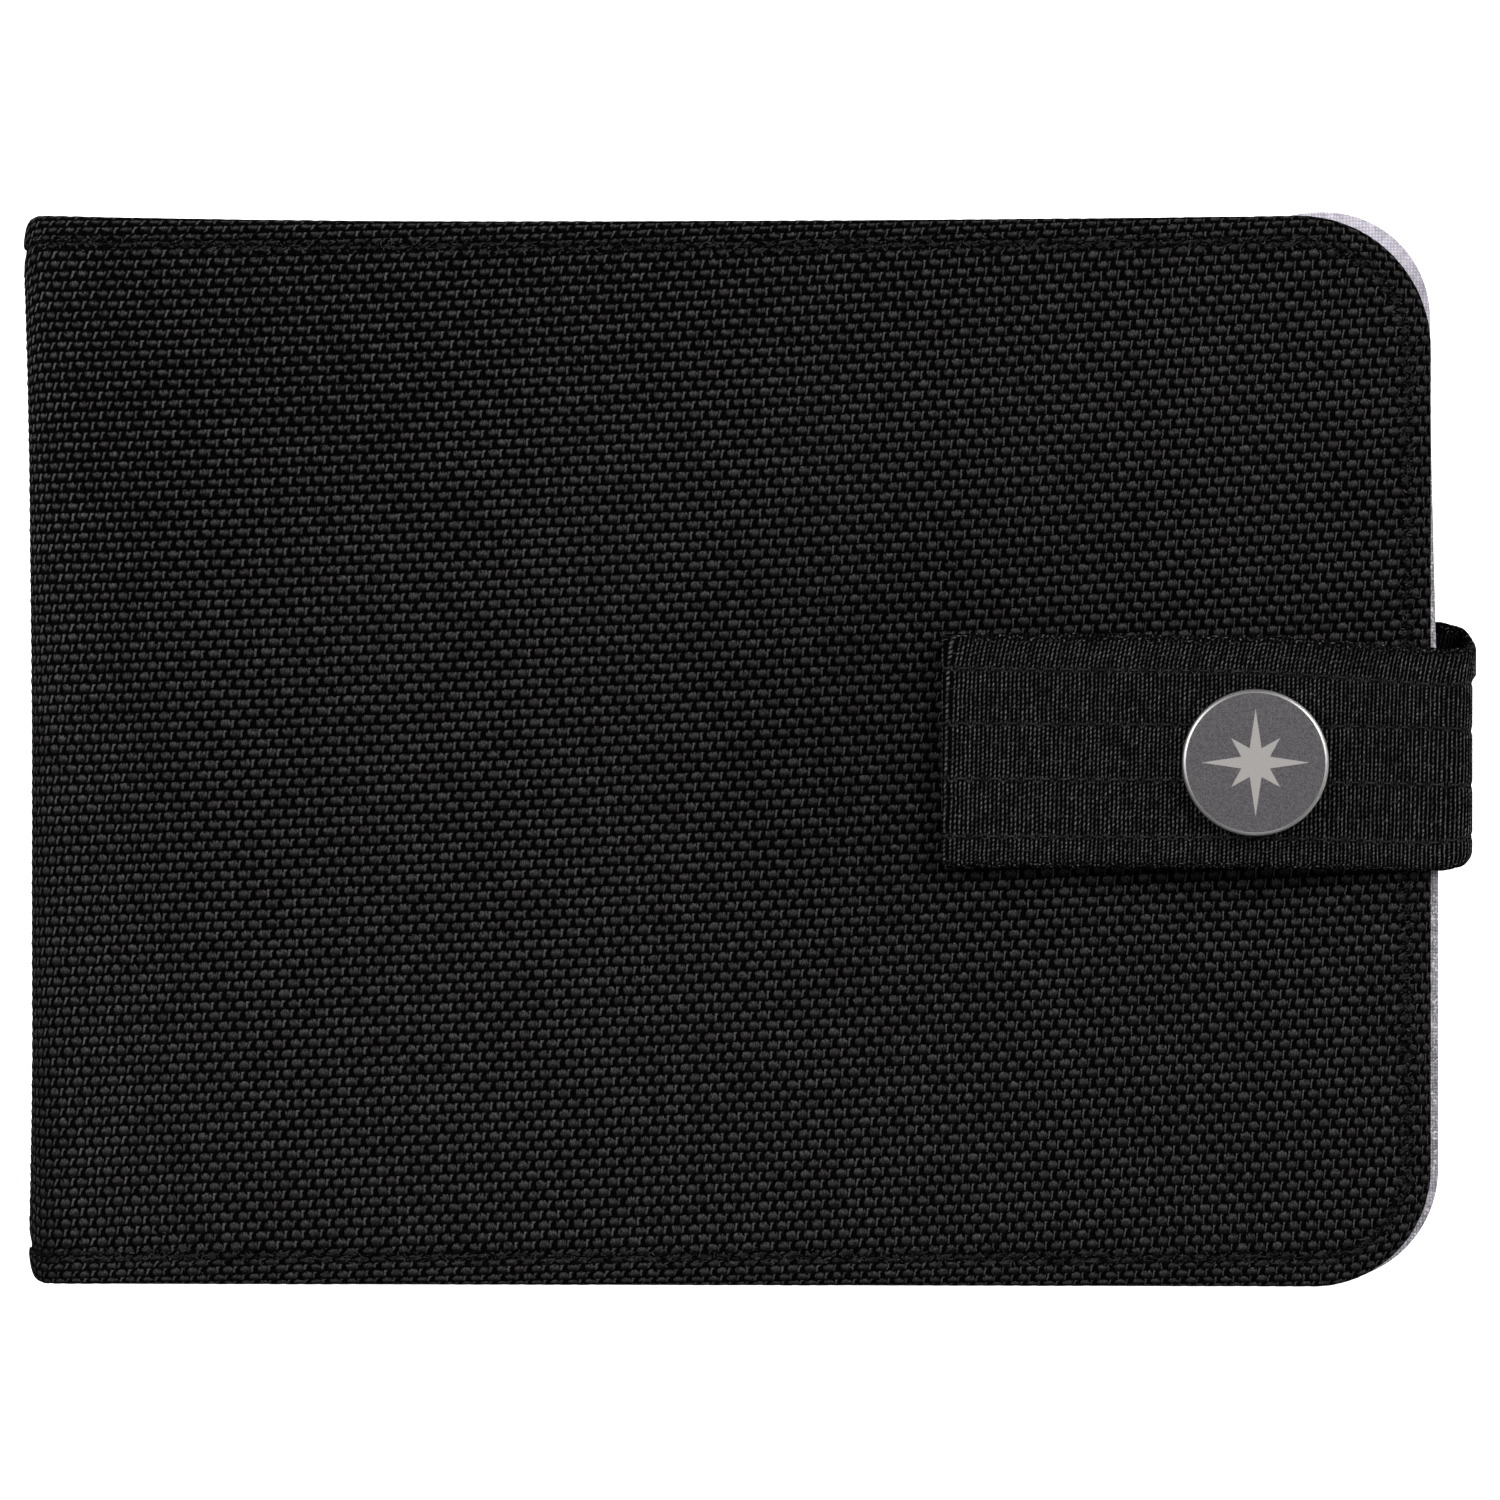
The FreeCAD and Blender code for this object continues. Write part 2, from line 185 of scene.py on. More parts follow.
def back_slack(x, y, z):
    """The back panel sits turned a little in the spine, so its lining shows past the cover.

    Its corners stand further out, and the spine spreads its cloth a little."""
    share = ramp(x, -60, 60)
    x = x + share * (0.29 - 0.85 * ramp(y, -6, 42))
    y = y + 1.35 * ramp(x, 50, 59) * ramp(y, 0, 40) + 0.35 * ramp(-x, -60, 40) * ramp(-y, 0, 40)
    y = y * (1 + ramp(-x, 60, 72) * np.where(y > 0, 0.0195, 0.012))
    y = round_spine_ends(x, y)
    x = x - spine_bulge(y) * ramp(-x, 58, 72)
    return x, y, z


def add_object(name, data):
    """Puts a mesh, a light or a camera into the scene."""
    made = bpy.data.objects.new(name, data)
    bpy.context.scene.collection.objects.link(made)
    return made


def triples(x, y, z):
    """The three numbers of every point, in one row each."""
    return np.stack(np.broadcast_arrays(x, y, z), axis=-1).reshape(-1, 3)


def add_mesh(name, points, faces, pattern=None):
    """A smooth mesh from points in millimetres and faces that all have the same number of corners.

    pattern is the three numbers that the material needs at each point."""
    used, corners = np.unique(faces, return_inverse=True)
    mesh = bpy.data.meshes.new(name)
    mesh.vertices.add(len(used))
    mesh.vertices.foreach_set("co", (points[used] * MM).astype(np.float32).ravel())
    mesh.loops.add(faces.size)
    mesh.loops.foreach_set("vertex_index", corners.astype(np.int32).ravel())
    mesh.polygons.add(len(faces))
    mesh.polygons.foreach_set("loop_start", np.arange(0, faces.size, faces.shape[1], dtype=np.int32))
    mesh.polygons.foreach_set("use_smooth", np.ones(len(faces), bool))
    if pattern is not None:
        layer = mesh.attributes.new("weave", "FLOAT_VECTOR", "POINT")
        layer.data.foreach_set("vector", pattern[used].astype(np.float32).ravel())
    mesh.update(calc_edges=True)
    return add_object(name, mesh)


def grid_faces(rows, columns, flip=False):
    """Faces of a grid whose points are numbered row by row."""
    first = np.arange(rows - 1)[:, None] * columns + np.arange(columns - 1)[None]
    ring = [first, first + 1, first + columns + 1, first + columns]
    return np.stack(ring[::-1] if flip else ring, axis=-1).reshape(-1, 4)


def tube_faces(rings, sides):
    """Faces of a tube whose rings each have that many points."""
    first = np.arange(rings - 1)[:, None] * sides
    here = np.arange(sides)[None]
    after = (here + 1) % sides
    ring = [first + here, first + after, first + sides + after, first + sides + here]
    return np.stack(ring, axis=-1).reshape(-1, 4)


def cloth_piece(name, grid, place, inside, side):
    """A piece of cloth on a grid of weave coordinates, kept where inside is above 0."""
    a, b, u, v = grid
    point, pattern = place(a, b, u, v)
    faces = grid_faces(*a.shape, flip=side < 0)
    kept = (inside.ravel()[faces] > 0).any(axis=1)
    return add_mesh(name, triples(*point), faces[kept], triples(*pattern))


def weave_grid(reach_x, reach_y, steps):
    """Weave coordinates a and b, in floats and rows, and the flat cloth's u and v."""
    floats = (int(reach_x[0] / FLOAT_PITCH) - 4, int(reach_x[1] / FLOAT_PITCH) + 4)
    rows = (int(reach_y[0] / ROW_PITCH) - 6, int(reach_y[1] / ROW_PITCH) + 6)
    along = np.arange(floats[0] * steps[0], floats[1] * steps[0]) / steps[0] + 0.29
    up = (np.arange(rows[0] * steps[1], rows[1] * steps[1]) + 0.5) / steps[1]
    a, b = np.meshgrid(along, up)
    u = a * FLOAT_PITCH * math.cos(ROW_CLIMB) - b * ROW_PITCH * math.sin(COLUMN_LEAN)
    v = a * FLOAT_PITCH * math.sin(ROW_CLIMB) + b * ROW_PITCH * math.cos(COLUMN_LEAN)
    return a, b, u, v


def scatter(a, b, seed):
    """A repeatable random number from 0 to 1 for each pair of whole numbers."""
    n = np.sin(a * 12.9898 + b * 78.233 + seed * 37.719) * 43758.5453
    return n - np.floor(n)


def weave_height(a, b):
    """Height of the woven surface: a wide float, a thin twisted yarn, then a gap, in bricks."""
    row = np.floor(b)
    shifted = a + 0.5 * np.mod(row, 2)
    along = shifted - np.floor(shifted)
    up = b - row
    size = 0.85 + 0.3 * scatter(np.floor(shifted), row, 1)
    wide = np.clip(1 - np.abs((along - WIDE_YARN[0]) / WIDE_YARN[1]) ** 3, 0, 1)
    thin = np.clip(1 - np.abs((along - THIN_YARN[0]) / THIN_YARN[1]) ** 2, 0, 1)
    arch = np.clip(4 * up * (1 - up), 0, 1)
    return WEAVE_DEPTH * size * np.maximum(wide, 0.75 * thin) * arch


def slow_noise(u, v, seed):
    """Gentle unevenness of a cloth panel, from -1 to 1."""
    turns = np.random.default_rng(seed).uniform(0, 2 * math.pi, 6)
    waves = ((0.045, 0.02), (-0.03, 0.06), (0.09, 0.05), (0.02, -0.11), (0.14, -0.07), (0.05, 0.17))
    return sum(np.sin(u * p + v * q + t) for (p, q), t in zip(waves, turns)) / len(waves)


def shell_cloth(name, outline, side, slack):
    """Ballistic cloth of one panel with its half of the spine, turned round the panel's edges."""
    right, bottom, top = outline[:3]
    reach = (U_MIDDLE, right + 5), (bottom - 5, top + 5)
    grid = weave_grid(*reach, SAMPLES[side])
    seam = inset_outline(outline, *SEAM_INSETS)
    edge = inset_outline(outline, EDGE_WIDTH, EDGE_WIDTH, EDGE_WIDTH)

    def place(a, b, u, v):
        """Where the cloth lies, and its pattern."""
        held = np.maximum(u, U_MIDDLE)
        from_seam, out_x, out_y = outline_distance(held, v, seam)
        crowd = EDGE_CROWDING * np.maximum(from_seam + 0.3, 0)
        a = a + crowd * out_x / FLOAT_PITCH
        b = b + crowd * out_y / ROW_PITCH
        channel = np.exp(-((from_seam / SEAM_WIDTH) ** 2))
        from_edge = outline_distance(held, v, edge)[0]
        flat = np.clip(0.7 * channel + 0.75 * ramp(from_edge, 0.2, 1.6), 0, 1)
        lift = weave_height(a, b) * (1 - flat) - WEAVE_DEPTH * (1 - 0.5 * flat) - SEAM_DEPTH * channel
        lift = lift + 0.16 * slow_noise(held, v, 4 + side) * ramp(-from_seam, 0, 12)
        x, y, height = turn_edge(held, v, lift, outline)
        x, z = bend_round_spine(x, height, side)
        upset = np.maximum(channel, 0.12 * ramp(from_seam, 0.3, 0.9))
        return slack(x, y, z), (a, b, upset)

    a, b, u, v = grid
    room = math.pi * EDGE_ARC + HEM_UNDER - outline_distance(u, v, edge)[0]
    inside = np.minimum(room, u - U_MIDDLE)
    return cloth_piece(name, grid, place, inside, side)


def lining_cloth(name, outline, side, face_z, slack):
    """Lining of one panel with its half of the spine, lying on the panel's inner face."""
    right, bottom, top = outline[:3]
    step = 0.8
    columns = np.arange(U_MIDDLE - 2 * step, right + 3, step)
    u, v = np.meshgrid(columns, np.arange(bottom - 3, top + 3, step))
    depth = Z_TOP - face_z if side > 0 else face_z
    edge = U_MIDDLE - (LINING_OVERLAP if side > 0 else 0)

    def place(a, b, u, v):
        """Where the cloth lies, and its pattern."""
        held = np.maximum(u, edge)
        distance, out_x, out_y = outline_distance(held, v, outline)
        over = np.maximum(distance, 0)
        lift = 0.03 * slow_noise(held * 4, v * 4, 9) - 0.12 * ramp(distance, -0.6, 0)
        x, z = bend_round_spine(held - over * out_x, -(depth + lift), side)
        x, y, z = slack(x, v - over * out_y, z)
        y = y * (1 - 0.012 * ramp(-x, 55, 70) - 0.009 * ramp(-x, 67, 73))
        # Painted shade along the lining's outer edge, except near its top, carried to the material as the
        # third pattern number
        painted_edge_shade = ramp(distance, -1.8, -0.6) * ramp(-v, -45, -30)
        return (x, y, z), (a, b, painted_edge_shade)

    grid = (u, v, u, v)
    inside = np.minimum(-outline_distance(u, v, outline)[0], u - edge)
    return cloth_piece(name, grid, place, inside, -side)


# Webbing
WEBBING = 0.9  # thickness
SELVEDGE = 0.4  # width of its rounded edges
RIB_PITCH = 0.445
STRAP_WIDTH = 24.3
STRAP_COLUMNS = 61  # mesh lines across each face
STRAP_LINES = (-12.15, -8.4, -2.85, 2.85, 8.4, 12.15)  # both selvedges and the four dashed lines
STRAP_LIES = (  # distance from the middle of the turn, and where each of STRAP_LINES lies there
    (-8.2, (-12.75, -8.6, -2.9, 2.9, 8.8, 13.25)),
    (-6.6, (-12.6, -8.65, -3.0, 2.8, 8.6, 12.95)),
    (-5.0, (-12.45, -8.7, -3.2, 2.6, 8.2, 12.15)),
    (-3.3, (-12.3, -8.8, -3.5, 2.2, 7.6, 11.35)),
    (0.5, (-12.2, -8.85, -3.8, 1.9, 7.2, 10.95)),
    (3.6, (-12.25, -9.0, -3.85, 1.95, 6.95, 10.7)),
    (8.0, (-12.65, -9.8, -3.7, 2.2, 6.6, 10.35)),
    (27.0, (-12.4, -9.2, -3.3, 2.45, 8.0, 11.75)),
    (60.0, (-12.3, -9.05, -3.06, 2.64, 8.36, 12.0)),
)


def rounded_path(corners, radii, step):
    """Points along a flat path with its corners rounded, and their distances along it."""
    corners = [np.array(c, float) for c in corners]
    points = [corners[0]]
    for before, at, after, radius in zip(corners, corners[1:], corners[2:], radii):
        back = (before - at) / np.linalg.norm(before - at)
        ahead = (after - at) / np.linalg.norm(after - at)
        half = math.acos(np.clip(back @ ahead, -1, 1)) / 2
        centre = at + (back + ahead) / np.linalg.norm(back + ahead) * radius / math.sin(half)
        start = at + back * radius / math.tan(half) - centre
        end = at + ahead * radius / math.tan(half) - centre
        sweep = math.pi - 2 * half
        for t in np.linspace(0, 1, 24):
            arm = start * math.sin((1 - t) * sweep) + end * math.sin(t * sweep)
            points.append(centre + arm / math.sin(sweep))
    points.append(corners[-1])
    line = np.array(points)
    steps = np.linalg.norm(np.diff(line, axis=0), axis=1)
    line, steps = line[np.append(True, steps > 1e-6)], steps[steps > 1e-6]
    distance = np.append(0, np.cumsum(steps))
    wanted = np.arange(0, distance[-1], step)
    at = np.stack([np.interp(wanted, distance, line[:, k]) for k in (0, 1)], axis=-1)
    return at, wanted


def rib_height(s, t):
    """Height of the ribs that run across the webbing, with four grooves across them."""
    rib = np.cos(2 * math.pi * s / RIB_PITCH) * 0.5 + 0.5
    grooves = sum(np.exp(-(((t - line) / 0.28) ** 2)) for line in STRAP_LINES[1:-1])
    return 0.1 * rib * (1 - 0.6 * np.clip(grooves, 0, 1)) - 0.1 * grooves


def strap_lie(s, t):
    """Where a point t across the webbing lies in y.

    s is the distance from the middle of the turn, and below 0 towards the back panel. The webbing is drawn
    together at its turn, and lies a little askew on the cover."""
    places = [place for place, _ in STRAP_LIES]
    lies = np.array([lie for _, lie in STRAP_LIES])
    window = np.linspace(-1.3, 1.3, 9)
    lines = [np.mean([np.interp(s + shift, places, line) for shift in window], axis=0) for line in lies.T]
    y = lines[0]
    for low, high, before, after in zip(STRAP_LINES, STRAP_LINES[1:], lines, lines[1:]):
        y = y + (after - before) * np.clip((t - low) / (high - low), 0, 1)
    return y


def webbing_section():
    """Places t across the webbing and heights n over its middle, in order round its cross section."""
    flat = STRAP_WIDTH / 2 - SELVEDGE
    across = np.linspace(-flat, flat, STRAP_COLUMNS)
    bend = np.linspace(0, math.pi, 6)[1:-1]
    edge = SELVEDGE * np.sin(bend)
    t = np.concatenate([across, flat + edge, across[::-1], -flat - edge])
    n = np.concatenate([0 * across + 1, np.cos(bend), 0 * across - 1, -np.cos(bend)]) * WEBBING / 2
    return t, n


def strap_faces(steps, round_it):
    """Faces of a webbing mesh whose cross section has round_it points, closed at both ends."""
    ring = np.arange(-2, STRAP_COLUMNS + 1)
    facing = 2 * STRAP_COLUMNS + 3 - ring
    end = np.stack([ring[:-1], ring[1:], facing[1:], facing[:-1]], axis=-1) % round_it
    return np.concatenate([tube_faces(steps, round_it), end[:, ::-1], end + (steps - 1) * round_it])


def selvedge_curl(s, t):
    """How far the edges stand off at the turn: the upper one flares out, and the lower one curls in."""
    flare = 0.42 * ramp(t, 8.2, 9.0) * ramp(-np.abs(s), -5, -2)
    return flare - 5.0 * ramp(-t, 9.4, 14.9) ** 2 * ramp(-np.abs(s), -8.4, -3.0)


def strap_piece(name, corners, radii, way):
    """A length of webbing along a path from the middle of its turn.

    way is 1 to the flap and -1 to the back panel."""
    line, s = rounded_path(corners, radii, RIB_PITCH / 4)
    ahead = np.gradient(line, axis=0)
    ahead /= np.linalg.norm(ahead, axis=1)[:, None]
    out = np.stack([-ahead[:, 1], ahead[:, 0]], axis=-1)
    t, n = webbing_section()
    ss, tt = np.meshgrid(s * way, t, indexing="ij")
    facing = np.sign(n)[None]
    share = np.abs(n)[None] / (WEBBING / 2)
    relief = (rib_height(ss, tt) - 0.05) * share * facing
    reach = n[None] + relief - way * selvedge_curl(ss, tt)
    lean = math.tan(math.radians(1.6)) * tt + 0.7 * ramp(tt, 8.0, 13.0)
    x = line[:, :1] + reach * out[:, :1] + lean * np.abs(ahead[:, :1])
    z = line[:, 1:] + reach * out[:, 1:]
    at_edge = np.abs(tt) > STRAP_WIDTH / 2 - 0.7
    loose = 0.06 * np.sin(ss * 2.1 + np.sin(ss * 0.7)) * at_edge * np.sign(tt)
    y = strap_lie(ss, tt) + loose
    pattern = triples(ss / RIB_PITCH, tt, -way * facing)
    return add_mesh(name, triples(x, y, z), strap_faces(len(s), len(t)), pattern)


# Shaders
BLACK = (0.0, 0.0, 0.0, 1.0)


class Signal:
    """A shader socket that arithmetic can be done on."""

    def __init__(self, graph, socket):
        self.graph = graph
        self.socket = socket


def signal_method(operation, turned):
    """One of a signal's operators. turned is for a signal on the right of a plain value."""
    def method(self, other):
        """The signal of the operation."""
        values = (other, self) if turned else (self, other)
        return self.graph.math(operation, *values)

    return method


for sign, operation in (("add", "ADD"), ("sub", "SUBTRACT"), ("mul", "MULTIPLY"), ("truediv", "DIVIDE")):
    setattr(Signal, "__%s__" % sign, signal_method(operation, False))
    setattr(Signal, "__r%s__" % sign, signal_method(operation, True))


class Graph:
    """A material's shader, built from signals."""

    def __init__(self, name, roughness, metallic=0.0, specular=0.5):
        self.material = bpy.data.materials.new(name)
        self.material.use_nodes = True
        self.nodes = self.material.node_tree.nodes
        self.links = self.material.node_tree.links
        self.shader = self.nodes["Principled BSDF"]
        self.shader.inputs["Roughness"].default_value = roughness
        self.shader.inputs["Metallic"].default_value = metallic
        self.shader.inputs["Specular IOR Level"].default_value = specular

    def feed(self, socket, value):
        """Links a signal to a socket, or sets the socket to a plain value."""
        if isinstance(value, Signal):
            self.links.new(value.socket, socket)
        else:
            socket.default_value = value

    def node(self, kind, inputs, output=0, **settings):
        """The signal that a new node gives."""
        made = self.nodes.new(kind)
        for key, value in settings.items():
            setattr(made, key, value)
        for key, value in inputs.items():
            self.feed(made.inputs[key], value)
        return Signal(self, made.outputs[output])

    def math(self, operation, *values):
        """The signal of one arithmetic operation."""
        return self.node("ShaderNodeMath", dict(enumerate(values)), operation=operation)

    def smooth(self, value, low, high):
        """0 at low, 1 at high, and smooth between. low may be above high."""
        inputs = {0: value, 1: low, 2: high}
        return self.node("ShaderNodeMapRange", inputs, interpolation_type="SMOOTHSTEP")

    def near(self, value, wide, narrow):
        """1 within narrow of 0 on either side, and 0 beyond wide."""
        return self.smooth(self.math("ABSOLUTE", value), wide, narrow)

    def odd(self, value):
        """1 for odd whole numbers and 0 for even ones."""
        return self.math("MODULO", self.math("ABSOLUTE", value), 2.0)

    def vector(self, x, y, z=0.0):
        """A vector from three signals or values."""
        return self.node("ShaderNodeCombineXYZ", {0: x, 1: y, 2: z})

    def noise(self, vector, scale, detail=2.0, roughness=0.5):
        """Smooth noise from 0 to 1."""
        inputs = {"Vector": vector, "Scale": scale, "Detail": detail, "Roughness": roughness}
        return self.node("ShaderNodeTexNoise", inputs)

    def speckle(self, x, y):
        """A random number from 0 to 1 for each pair of whole numbers."""
        return self.node("ShaderNodeTexWhiteNoise", {"Vector": self.vector(x, y)}, "Value")

    def mix(self, share, first, second, blend_type="MIX"):
        """Two colours mixed, with that share of the second."""
        inputs = {0: share, 6: first, 7: second}
        return self.node("ShaderNodeMix", inputs, 2, data_type="RGBA", blend_type=blend_type)

    def attribute(self, name):
        """The three numbers of a mesh attribute."""
        made = self.node("ShaderNodeAttribute", {}, "Vector", attribute_name=name)
        parts = self.nodes.new("ShaderNodeSeparateXYZ")
        self.links.new(made.socket, parts.inputs[0])
        return [Signal(self, out) for out in parts.outputs]

    def place(self):
        """The shaded place, in metres."""
        return self.node("ShaderNodeTexCoord", {}, "Object")

    def colour(self, value):
        """Sets the colour of the surface."""
        self.feed(self.shader.inputs["Base Color"], value)

    def bump(self, height, distance, strength=1.0):
        """Bends the surface's normal by a height signal. distance is in millimetres."""
        inputs = {"Strength": strength, "Distance": distance * MM, "Height": height}
        normal = self.node("ShaderNodeBump", inputs)
        self.feed(self.shader.inputs["Normal"], normal)


def slow_shading(g, a, b):
    """Painted light and shade of the shell's colour: paler at the spine, darker along its middle and round
    the strap.
    """
    from_strap = g.math("SQRT", (a - 10.0) * (a - 10.0) + (b - 1.0) * (b - 1.0) * 0.36)
    shading = g.smooth(a, -33.5, -38.0) * 0.16 - g.near(b - 8.0, 40.0, 5.0) * 0.08
    return shading - g.smooth(from_strap, 20.0, 2.0) * 0.2


def wide_float(g, up, bow, fibres, high, low):
    """Where a wide filament float shows lit. Its foot, below which the float is left in painted shade,
    rises towards the top of the panel and drops towards the bottom. Its crown and its foot bow across it.
    """
    crown = 0.93 - high * 0.06 - bow * (0.25 - high * 0.1 + low * 0.15) + (fibres - 0.5) * 0.95
    foot = bow * 0.3 + 0.05 + high * 0.24 - low * 0.14
    wide = g.smooth(up, crown + 0.08, crown - 0.08) * g.smooth(up, foot - 0.1, foot + 0.42)
    return wide * g.smooth(bow, 1.1, 0.5)


def thin_twist(g, up, lean, far, chance):
    """Where a thin twisted yarn lies, with the short bar at its top."""
    thin = g.near(lean, 0.08 - far * 0.03, 0.035 - far * 0.012)
    thin = thin * g.smooth(up, 0.14 - far * 0.12, 0.26 - far * 0.14) * g.smooth(up, 0.97, 0.88)
    bar = g.near(lean - 0.06, 0.09, 0.04) * g.near(up - 0.85, 0.12, 0.05)
    return g.math("MAXIMUM", thin, bar * (0.5 + chance * 0.5) * (1.0 - far * 0.75))


def ballistic_material():
    """Black ballistic nylon: wide filament floats and thin twisted yarns over dark gaps."""
    g = Graph("ballistic_nylon", roughness=0.6, specular=0.0)
    a, b, upset = g.attribute("weave")
    shading = slow_shading(g, a, b)
    drift = g.noise(g.vector(a, b), 0.9, 1.0)
    tangle = upset * (g.noise(g.vector(a, b, 3.1), 2.6, 2.0) - 0.5) * 1.6
    a = a + (drift - 0.5) * 0.16 + tangle
    b = b + (g.noise(g.vector(a, b, 7.3), 0.8, 1.0) - 0.5) * 0.22 + tangle
    # The yarns show a little differently towards the top, the spine, the bottom and the free edge; towards
    # the top and the bottom this is painted light, as the lit part of each float shrinks towards the top
    # and grows towards the bottom
    high = g.smooth(b - a * 0.5, 20.0, 56.0)
    spine = g.smooth(a, -30.0, -37.0)
    low = g.smooth(b, 5.0, -45.0)
    far = g.smooth(a, -20.0, 28.0)
    row = g.math("FLOOR", b)
    shifted = a + g.odd(row) * 0.5
    column = g.math("FLOOR", shifted)
    along = shifted - column
    up = b - row
    chance = g.speckle(column, row)
    other_chance = g.speckle(column + 91.0, row)
    fibres = g.noise(g.vector(shifted * 26.0, b * 3.0, chance * 9.0), 1.0, 2.5, 0.65)
    grain = g.noise(g.vector(shifted * 15.0, b * 12.0, 2.7), 1.0, 2.0, 0.6)
    across = (along - WIDE_YARN[0]) / (0.315 + other_chance * 0.04 - spine * 0.03)
    bow = across * across
    wide = wide_float(g, up, bow, fibres, high, low)
    # Painted light: each float is lighter at its top and darker towards its foot; the fibres, grain and
    # chance are the yarn's own
    shade = (0.25 + g.smooth(up, 0.2, 0.8)) * (0.1 + g.smooth(fibres, 0.32, 0.68)) * (0.85 + chance * 0.3)
    shade = shade * (0.55 + g.smooth(grain, 0.35, 0.7) * 0.8)
    slant = 0.1 + g.smooth(b - a * 0.25, 42.0, 62.0) * 0.1 + spine * 0.06
    lean = along - 0.645 - far * 0.03 - spine * 0.07 - (up - 0.55) * slant - (other_chance - 0.5) * 0.05
    twist = g.math("SINE", up * 17.0 + lean * 30.0) * 0.25 + 0.55 + up * 0.6
    thin = thin_twist(g, up, lean, far, chance)
    light = g.math("MAXIMUM", wide * shade * 0.0425, thin * twist * (0.028 + other_chance * 0.034))
    # Painted shade where the cloth turns down round the spine's edge; the seam's channel and the edge strip
    # are darker too
    light = light * (1.0 - upset * 0.45) * (1.0 - g.smooth(a, -39.0, -42.5) * 0.55)
    light = (light + g.smooth(grain, 0.4, 0.8) * 0.005) * (1.0 + shading) + 0.0001
    tint = g.mix(chance, (1.06, 0.97, 1.0, 1.0), (1.0, 0.99, 1.0, 1.0))
    g.colour(g.mix(1.0, tint, light, "MULTIPLY"))
    height = wide * (0.5 + fibres * 0.6) * g.math("SINE", up * math.pi) + thin * 0.7 * twist
    g.bump(height, 0.09, 0.8)
    return g.material


def dashed_line(g, light, s, level, chance):
    """Adds one line of dashes and small loops to the webbing. level is the height over the line."""
    dash_at = (g.math("FRACT", s / 4.0) - 0.5) * 4.0 * RIB_PITCH
    loop_at = (g.math("FRACT", s / 4.0 + 0.5) - 0.5) * 4.0 * RIB_PITCH
    hang = g.math("MINIMUM", level, 0.0)
    ring = g.math("SQRT", loop_at * loop_at + hang * hang)
    loop = g.near(ring - 0.28, 0.1, 0.03) * g.smooth(level, 0.45, 0.2)
    dash = g.near(dash_at, 0.42, 0.3) * g.near(level - 0.05, 0.1, 0.03)
    # Painted shadow in the groove just beneath the line of dashes
    light = light * (0.3 + g.near(level + 0.05, 0.12, 0.36) * 0.7)
    light = g.math("MAXIMUM", light, dash * (0.013 + chance * 0.02))
    return g.math("MAXIMUM", light, loop * (0.005 + chance * 0.018))


def webbing_material():
    """Black elastic webbing: corded ribs, every second one beaded, and four dashed lines."""
    g = Graph("strap_webbing", roughness=0.6, specular=0.0)
    s, t, face = g.attribute("weave")
    s = s + (g.noise(g.vector(s * 0.12, t * 0.5), 1.0, 2.0) - 0.5) * 0.45
    rib = g.math("ROUND", s)
    off = s - rib
    second = g.odd(rib)
    chance = g.speckle(rib, g.math("FLOOR", t / 0.9 + g.speckle(rib, 3.0)))
    taut = g.smooth(s, 55.0, 15.0)
    straight = (1.0 - second) * taut
    fibre = g.noise(g.vector(rib * 7.0, t * 2.6, off * 2.0), 1.0, 3.0, 0.7)
    pitch = 0.42 + g.speckle(rib, 5.0) * 0.16
    slope = g.math("FRACT", t / pitch + off * 0.9 + g.speckle(rib, 1.0) + fibre)
    bead = g.near(slope - 0.5, 0.44, 0.16)
    cord = g.near(off + (fibre - 0.5) * 0.3, 0.28 - straight * 0.08, 0.04)
    yarn = cord * (bead * (1.0 - straight * 0.5) + straight * 0.4)
    light = yarn * (0.03 + chance * 0.075) * g.smooth(fibre, 0.22, 0.7) * (1.27 + taut * 0.23)
    grid_t = t / 1.82
    brick = g.math("FLOOR", grid_t)
    dash_s = g.math("FRACT", s / 4.0 + g.odd(brick) * 0.5)
    dash = g.near(dash_s - 0.5, 0.22, 0.14) * g.near(grid_t - brick - 0.5, 0.05, 0.02)
    light = g.math("MAXIMUM", light, dash * (0.006 + chance * 0.016))
    for line in STRAP_LINES[1:-1]:
        light = dashed_line(g, light, s, t - line, chance)
    edge = g.smooth(g.math("ABSOLUTE", t), 11.0, 11.6)
    dots = g.smooth(g.noise(g.vector(s * 1.7, t * 5.0), 1.0, 0.0), 0.66, 0.78) * edge
    # The reverse face is a little darker everywhere, and much darker near the turn: painted shade inside
    # the loop
    reverse_and_loop_shade = g.smooth(face, 0.2, -0.2) * (0.3 + g.near(s, 40.0, 25.0) * 0.55)
    light = light * (1.0 - edge * 0.8) * (1.0 - reverse_and_loop_shade) + dots * 0.09
    g.colour(g.mix(1.0, BLACK, light + 0.0012))
    g.bump(yarn + dash, 0.05, 0.7)
    return g.material


